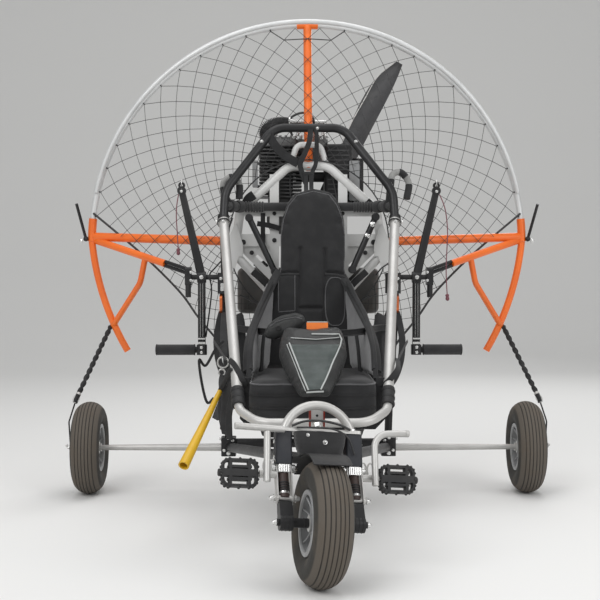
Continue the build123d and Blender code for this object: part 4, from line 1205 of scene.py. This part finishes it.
# Comfort rods, side cables and the webbing that holds the pad's head
rods = bmesh.new()
for route in (((-193, -50, 901), (-110, -58, 727)), ((216, -50, 904), (140, -58, 734))):
    rod(rods, at(*route[0]), at(*route[1]), 10)
    for end in route:
        lathe(rods, at(*end) + Y * 0.011, -Y, [(0, 13), (22, 13), (24, 11)], 18)
for route in (
    ((-264, -100, 780), (-300, -100, 740), (-318, -100, 715), (-312, -100, 660), (-330, -100, 519)),
    ((286, -96, 790), (262, -90, 760), (232, -84, 738), (216, -76, 716)),
    ((-223, -52, 652), (-186, -56, 634), (-150, -60, 616)),
    ((172, -58, 636), (196, -56, 646), (219, -52, 655)),
    ((-246, -60, 900), (-262, -70, 850), (-270, -84, 800), (-268, -92, 740)),
):
    sweep(rods, trail(route, 6), circle(2.4, 8))
make(rods, "comfort_rods", "black_tube", "frame")
studs = bmesh.new()
for x, z in ((206, 880), (189, 843)):
    lathe(studs, at(x, -59.5, z), -Y, [(0, 8.5), (2, 8.5), (3, 5.5), (6, 5), (7, 3.5)], 18)
dome(studs, at(28, -33.6, 1192), -Y, 7)
make(studs, "rod_bolts", "bright_metal", "frame")
tape = bmesh.new()
for route, width in (
    (((-149, -9, 918), (-149, -10, 862), (-149, -9, 806)), 15),
    (((-168, -9, 884), (-130, -11, 878), (-93, -9, 868)), 17),
    (
        (
            (6, -33, 1190), (2, -32, 1150), (-12, -26, 1112), (-27, -24, 1080), (-24, -26, 1056),
            (-9, -40, 1012)
        ), 17
    ),
    (
        (
            (24, -33, 1190), (26, -30, 1150), (25, -26, 1104), (22, -24, 1074), (12, -26, 1050),
            (8, -40, 1012)
        ), 14
    ),
    (((-9, -36, 1044), (-9, -50, 1004), (-9, -72, 982)), 14),
    (((8, -36, 1044), (8, -50, 1004), (8, -72, 982)), 14),
    (((-130, -40, 1172), (-112, -34, 1140), (-80, -22, 1106), (-34, -20, 1078)), 28),
    (((-206, -12, 944), (-196, -14, 964), (-178, -14, 978)), 30),
    (((206, -12, 944), (190, -14, 958)), 22),
    (((-96, -40, 640), (-140, -46, 690), (-182, -40, 728)), 22),
    (((104, -40, 640), (146, -46, 690), (188, -40, 728)), 22),
):
    sweep(tape, trail(route, 5), flat(width, 2.6), up=-Y)
make(tape, "frame_webbing", "black_webbing", "frame")
buckles = bmesh.new()
plate(buckles, rounded(34, 11, 3), at(0, -34, 1046), X, Z, 4)
plate(buckles, rounded(30, 4, 1.5), at(0, -38, 1046), X, Z, 2)
make(buckles, "webbing_buckles", "black_plastic", "frame")

# Engine top: head, spark plug with its lead, inlet pipe, ribs of the hose, side plates and cables
engine_y = 112
head_form = bmesh.new()
plate(head_form, rounded(112, 84, 10), at(-92, engine_y, 1146), X, Y, 20)
plate(head_form, rounded(70, 60, 8), at(-92, engine_y, 1164), X, Y, 12)
for i in range(5):
    plate(head_form, rounded(8, 74, 3), at(-128 + 18 * i, engine_y, 1160), X, Y, 20)
plate(head_form, rounded(96, 64, 8), at(10, engine_y, 1096), X, Y, 58)
plate(head_form, rounded(120, 56, 8), at(6, engine_y, 1154), X, Y, 14)
for i in range(6):
    plate(head_form, rounded(10, 50, 3), at(-44 + 20 * i, engine_y, 1168), X, Y, 14)
make(head_form, "cylinder_head", "engine_metal", "frame")
bright = bmesh.new()
for x in (-136, -48):
    for y in (-24, 24):
        screw(bright, at(x, engine_y + y, 1166), Z, 9)
rod(bright, at(-58, engine_y - 14, 1228), at(62, engine_y - 14, 1226), 7)
rod(bright, at(56, engine_y - 14, 1230), at(56, engine_y - 14, 1176), 6)
lathe(bright, at(-64, engine_y - 14, 1228), X, [(0, 17), (5, 17), (6, 11), (16, 10)], 20)
lathe(
    bright, at(22, engine_y - 22, 1150), Z,
    [(0, 12), (24, 12), (26, 8), (50, 7), (52, 10), (60, 10), (66, 5)], 18
)
for z in (1156, 1164, 1172):
    lathe(bright, at(22, engine_y - 22, z), Z, [(0, 14.5), (3, 14.5)], 18)
for x in (-44, -24, -4, 42, 62):
    screw(bright, at(x, engine_y - 27.5, 1176), -Y, 9)
for x in (-34, -8, 50):
    lathe(bright, at(x, engine_y - 10, 1180), Z, [(0, 7), (6, 7), (7, 4.5), (20, 4.5), (21, 3)], 14)
for x, z in ((-120, 902), (-72, 950), (-24, 902), (-72, 854)):
    screw(bright, at(x, engine_y - 27, z), -Y, 8)
make(bright, "engine_fittings", "bright_metal", "frame")
lead = bmesh.new()
route = [
    (22, engine_y - 22, 1212), (14, engine_y - 26, 1242), (-16, engine_y - 26, 1256),
    (-52, engine_y - 20, 1244)
]
route += [(-64, engine_y - 12, 1222), (-52, engine_y, 1180)]
sweep(lead, trail(route), circle(4, 10))
hose = [
    (-140, engine_y, 1154), (-150, engine_y - 8, 1200), (-124, engine_y - 11, 1222),
    (-92, engine_y - 14, 1228)
]
hose += [(-64, engine_y - 12, 1226)]
hose_path = trail(hose, 8)
for before, place in zip(hose_path[1:], hose_path[2:]):
    lathe(lead, place, place - before, [(-1.6, 14.8), (-0.8, 16.3), (0.8, 16.3), (1.6, 14.8)], 20)
for route, radius in (
    (((58, 96, 1100), (72, 44, 1060), (88, 32, 1000), (96, 24, 930), (90, 26, 860)), 3),
    (((-40, 60, 1130), (-52, 34, 1090), (-60, 30, 1030), (-58, 30, 962)), 2.6),
    (((96, 50, 960), (70, 40, 900), (40, 36, 850), (0, 34, 820)), 4.5),
    (((-150, 60, 760), (-120, 34, 720), (-60, 28, 700), (40, 26, 712)), 5),
):
    sweep(lead, trail(route, 6), circle(radius, 8))
make(lead, "engine_hoses", "black_hose", "frame")
panels = bmesh.new()
plate(panels, rounded(34, 132, 4), at(153, 49, 1028), X, Z, 3)
plate(panels, rounded(18, 90, 4), at(-176, 60, 1050), X, Z, 3)
rod(panels, at(153, 50, 968), at(153, 96, 968), 5)
rod(panels, at(153, 50, 1086), at(153, 96, 1086), 5)
rod(panels, at(-176, 60, 1010), at(-150, 100, 1010), 5)
rod(panels, at(-176, 60, 1086), at(-150, 100, 1086), 5)
for z in (976, 1080):
    screw(panels, at(153, 46, z), -Y, 6)
make(panels, "engine_side_plates", "rim_plastic", "frame")
ribs = bmesh.new()
for i in range(11):
    z = 968 + 16 * i
    plate(ribs, rounded(70, 4, 1.5), at(100, engine_y - 60.5, z), X, Z, 3)
make(ribs, "airbox_ribs", "engine_black", "frame")
tank = bmesh.new()
lathe(tank, at(-150, 96, 738), Z, [(0, 26), (6, 26), (7, 30), (20, 30), (22, 27)], 28)
for angle in turns(14):
    rod(
        tank, at(-150 + 30 * cos(angle), 96 + 30 * sin(angle), 746),
        at(-150 + 30 * cos(angle), 96 + 30 * sin(angle), 757), 2, 6
    )
for x in (-120, 120):
    band = [
        (x, 24, 590), (x, 22, 700), (x, 26, 738), (x, 40, 743), (x, 150, 743), (x, 166, 736), (x, 170, 600)
    ]
    sweep(tank, [at(*p) for p in band], flat(24, 2), up=X)
make(tank, "tank_cap_and_bands", "black_plastic", "frame")

# Propeller: hub plate with its bolts and the bright strips on the leading edges
prop = bmesh.new()
prop_face = prop_hub + Y * 0.034
lathe(prop, prop_face, Y, [(0, 40), (4, 40), (5, 38)], 32)
for angle in turns(6):
    spot = prop_face + (X * cos(angle) + Z * sin(angle)) * 0.028 + Y * 0.005
    screw(prop, spot, Y, 9)
make(prop, "propeller_hub_plate", "satin_silver", "propeller")
strips = bmesh.new()
for turn in (0, pi):
    angle = radians(27) + turn
    out = X * sin(angle) + Z * cos(angle)
    across = X * cos(angle) - Z * sin(angle)
    edge = []
    for radius, lead_edge, twist in (
        (330, -51, 24), (437, -54, 19), (530, -49.5, 16), (620, -44, 13), (690, -14, 11)
    ):
        chord = across * cos(radians(twist)) + Y * sin(radians(twist))
        edge.append(prop_hub + (out * radius + chord * (lead_edge + 1.2)) / 1000)
    sweep(strips, through(edge, 8), circle(1.9, 8))
make(strips, "propeller_edges", "satin_silver", "propeller")

# Fork fittings: clevis spacers, cone and cap nuts, boots, cap screws and brake lines
drop = head - front_hub
fork_offset = drop.dot(fork_back) * 1000
fork_drop = drop.dot(steer_axis) * 1000
upper_z, lower_z = -104.5, -178.5
lower_y = -fork_offset * 0.55
leg_x, link_half = 86, 19
silver_fork = bmesh.new()
dark_fork = bmesh.new()
for side in (-1, 1):
    for face in (-1, 1):
        outer = side * leg_x + face * (link_half + 8)
        lathe(
            silver_fork, on_fork(outer, 0, upper_z), fork_across * face,
            [(-7, 10.5), (1, 10.5), (2, 9), (7, 4), (8, 2)], 18
        )
        dome(silver_fork, on_fork(outer - face, lower_y, lower_z), fork_across * face, 13)
        dome(
            silver_fork, on_fork(side * leg_x + face * (link_half + 4), -fork_offset, -fork_drop),
            fork_across * face, 12
        )
    plate(silver_fork, rounded(30, 19, 3), on_fork(side * leg_x, -12.6, -107), fork_across, steer_axis, 6)
    for x in (-11, -5.5, 0, 5.5, 11):
        low, high = on_fork(side * leg_x + x, -18.6, -115), on_fork(side * leg_x + x, -18.6, -99)
        rod(silver_fork, low, high, 1.7, 8)
    axis = on_fork(0, lower_y, lower_z) - on_fork(0, 0, upper_z)
    top = on_fork(side * leg_x, 0, upper_z)
    for i in range(4):
        lathe(
            dark_fork, top + axis * (0.52 + 0.08 * i), axis,
            [(-2.4, 12.4), (-1.2, 13.8), (1.2, 13.8), (2.4, 12.4)], 20
        )
    lathe(silver_fork, top + axis * 0.84, axis, [(-3, 12.6), (-2, 13.7), (2, 13.7), (3, 12.6)], 22)
    for y in (-11, 11):
        screw(silver_fork, on_fork(side * leg_x, y, -9.4), steer_axis, 8)
    for z in (-40, -78):
        lathe(
            silver_fork, on_fork(side * (leg_x + 20), 0, z), fork_across * side, [(0, 5), (2, 5), (3, 3.5)],
            14
        )
    spacer = on_fork(side * 40, -fork_offset, -fork_drop)
    for shift in (-4, 4):
        lathe(
            dark_fork, spacer + fork_across * side * shift / 1000, fork_across,
            [(-1, 11), (0, 12.6), (1, 11)], 20
        )
    block = on_fork(side * leg_x, -fork_offset, -fork_drop)
    for shift in (-9, 0, 9):
        lathe(
            dark_fork, block + fork_across * shift / 1000, fork_across,
            [(-1.6, 18.6), (-0.8, 19.8), (0.8, 19.8), (1.6, 18.6)], 24
        )
screw(silver_fork, on_fork(0, 0, -1.4), steer_axis, 19)
make(silver_fork, "fork_fittings", "bright_metal", "fork")
make(dark_fork, "fork_rings", "black_plastic", "fork")
lines = bmesh.new()
for route, radius in (
    (((-70, -24, -6), (-40, -34, 4), (0, -38, 6), (44, -34, 0), (74, -26, -10)), 3),
    (((-58, -26, -10), (-20, -40, -12), (28, -42, -14), (66, -30, -30), (84, -24, -70)), 2.4),
):
    sweep(lines, through([on_fork(*p) for p in route]), circle(radius, 8))
make(lines, "fork_lines", "black_hose", "fork")
flap = bmesh.new()
sweep(
    flap, [on_fork(0, -18, -20 - 3.6 * i) for i in range(16)], rounded(124, 42, 15, 5), up=fork_back,
    scale=lambda t: (1 - 0.18 * t**2) * (1 + 0.012 * sin(38 * t)),
)
lathe(flap, on_fork(0, -8, -19.5), steer_axis, [(0, 26), (0.9, 27.5), (1.6, 26)], 28)
make(flap, "fork_flap", "black_foam", "fork")
guard_bolts = bmesh.new()
dome(guard_bolts, on_fork(8, -38, -46), -fork_back, 8)
dome(guard_bolts, on_fork(-34, -39, -30), -fork_back, 6)
make(guard_bolts, "guard_bolts", "bright_metal", "fork")

# Foot guard caps and the eye plates beside the pedals
caps = bmesh.new()
for x, y, z, axis in (
    (211, -50, -18, fork_across), (-209, -46, -18, -fork_across), (131, -34, -142, -steer_axis),
    (-131, -34, -142, -steer_axis),
):
    lathe(caps, on_fork(x, y, z), axis, [(-6, 8.4), (1, 8.4), (2.4, 7)], 18)
for side in (-1, 1):
    for shift in (-9, 9):
        x = side * 118 + shift
        centre = on_fork(x, -8, -102)
        loop = [
            centre + (fork_across * 8 * cos(a) + steer_axis * 17 * sin(a)) / 1000 for a in turns(24)
        ]
        sweep(caps, loop, flat(4, 2.4), up=fork_back, closed=True)
make(caps, "guard_caps", "satin_silver", "fork")

# Pedal teeth and end caps
for side, word in ((-1, "left"), (1, "right")):
    teeth = bmesh.new()
    outline = rounded(86, 66, 18, 3)
    for i, (x, z) in enumerate(outline):
        nx, nz = outline[(i + 1) % len(outline)]
        for t in (0.0, 0.5) if hypot(nx - x, nz - z) > 20 else (0.0,):
            px, pz = x + (nx - x) * t, z + (nz - z) * t
            length = hypot(px, pz)
            out = fork_across * px / length + steer_axis * pz / length
            for y in (-19, -1):
                spot = on_fork(side * 192 + px * 0.97, y, -122 + pz * 0.97)
                lathe(teeth, spot, out, [(-1, 4), (2.6, 2.8), (3.6, 2.2)], 8)
    lathe(teeth, on_fork(side * 239, -10, -122), fork_across * side, [(-2, 9), (2, 9), (4, 7)], 18)
    make(teeth, f"pedal_teeth_{word}", "black_plastic", f"pedal_{word}")

# Lever fittings: clips at the tips, bolts on the clamps and rings on the grips
for side, word in ((-1, "left"), (1, "right")):
    clip = bmesh.new()
    tip = at(side * 406, -100, 1002)
    ring = [tip + (Y * cos(a) + Z * sin(a)) * 0.0095 + Z * 0.0075 for a in turns(20)]
    sweep(clip, ring, circle(1.6, 8), closed=True)
    for y in (-110, -90):
        dome(clip, at(side * 406, y, 983), Y if y > -100 else -Y, 7)
    for z in (470, 486):
        screw(clip, at(side * 343, -116.2, z), -Y, 7)
    screw(clip, at(side * 343, -118, 710), -Y, 9)
    for x in (-4, 4):
        rod(clip, at(side * 343 + x, -112.2, 520), at(side * 343 + x, -112.2, 690), 0.8, 6)
    plate(clip, rounded(24, 7, 2), at(side * 343, -112.4, 500), X, Z, 2.4)
    plate(clip, rounded(24, 5, 2), at(side * 343, -112.4, 514), X, Z, 2.4)
    make(clip, f"lever_fittings_{word}", "bright_metal", f"lever_{word}")
    foam_rings = bmesh.new()
    for x in (366, 487):
        lathe(foam_rings, at(side * x, -100, 478), X, [(-2, 16.6), (-1, 18), (1, 18), (2, 16.6)], 24)
    lathe(foam_rings, at(side * 488, -100, 478), X * side, [(0, 16.5), (2, 15), (3, 10)], 24)
    make(foam_rings, f"grip_rings_{word}", "black_plastic", f"lever_{word}")

# Ties: plaited sleeves, snap hooks and their cables
ties = bmesh.new()
hooks = bmesh.new()
for side in (-1, 1):
    top = at(side * (733 * cos(radians(23.2))), 200, 830 - 733 * sin(radians(23.2)))
    hook = at(side * 768, 40, 306)
    run = hook - top
    for phase in (0.0, pi):
        path = []
        for i in range(97):
            t = i / 96
            angle = phase + 34 * t
            path.append(top + run * (0.01 + 0.95 * t) + (X * cos(angle) + Y * sin(angle)) * 0.0048)
        sweep(ties, path, flat(9, 3), up=-Y)
    along = run.normalized()
    loop = [
        hook + (along * 15 * cos(a) + along.cross(Y).normalized() * 8.6 * sin(a)) / 1000
        for a in turns(24)
    ]
    sweep(hooks, loop, circle(2.2, 8), closed=True)
    lathe(hooks, hook - along * 0.019, along, [(-5, 6), (0, 9), (4, 9), (6, 6)], 16)
    dome(hooks, at(side * 790, 0, 156), X * side, 8)
    for t in (0.03, 0.12):
        lathe(ties, top + run * t, run, [(-5, 6.4), (-4, 7.6), (4, 7.6), (5, 6.4)], 14)
make(ties, "tie_sleeves", "black_webbing", "frame")
make(hooks, "tie_hooks", "satin_silver", "frame")

# Stage, light and colour
floor_finish = Finish("studio floor", (0.8, 0.8, 0.79), 0.9, edge=0.0)
sweep_points = [(-6, 0.0), (5, 0.0)]
sweep_points += [(5 + 2.5 * sin(a), 2.5 - 2.5 * cos(a)) for a in (0.26, 0.52, 0.79, 1.05, 1.31, 1.57)]
sweep_points.append((7.5, 6.0))
backdrop = bmesh.new()
edges = [[backdrop.verts.new((x, y, z)) for y, z in sweep_points] for x in (-8, 8)]
for i in range(len(sweep_points) - 1):
    backdrop.faces.new((edges[0][i], edges[1][i], edges[1][i + 1], edges[0][i + 1]))
floor_mesh = bpy.data.meshes.new("backdrop")
backdrop.to_mesh(floor_mesh)
backdrop.free()
floor_mesh.materials.append(floor_finish.material)
floor_mesh.polygons.foreach_set("use_smooth", [True] * len(floor_mesh.polygons))
floor = bpy.data.objects.new("backdrop", floor_mesh)
bpy.context.collection.objects.link(floor)

lamps = (
    ("key", (-2.2, -3.4, 3.4), 90, 2.6),
    ("fill", (3.0, -2.8, 2.4), 55, 2.6),
    ("top", (0.0, 0.4, 4.2), 60, 3.2),
    ("back", (1.5, 4.0, 3.0), 40, 2.4),
)
for name, place, power, size in lamps:
    lamp_data = bpy.data.lights.new(name, "AREA")
    lamp_data.energy = power
    lamp_data.size = size
    lamp = bpy.data.objects.new(name, lamp_data)
    bpy.context.collection.objects.link(lamp)
    lamp.location = place
    lamp.rotation_euler = (Vector((0, 0.1, 0.75)) - Vector(place)).to_track_quat("-Z", "Y").to_euler()

world = bpy.data.worlds.new("studio")
bpy.context.scene.world = world
world.use_nodes = True
background = world.node_tree.nodes["Background"]
background.inputs["Color"].default_value = (0.9, 0.9, 0.9, 1)
background.inputs["Strength"].default_value = 0.5
bpy.context.scene.view_settings.view_transform = "Standard"
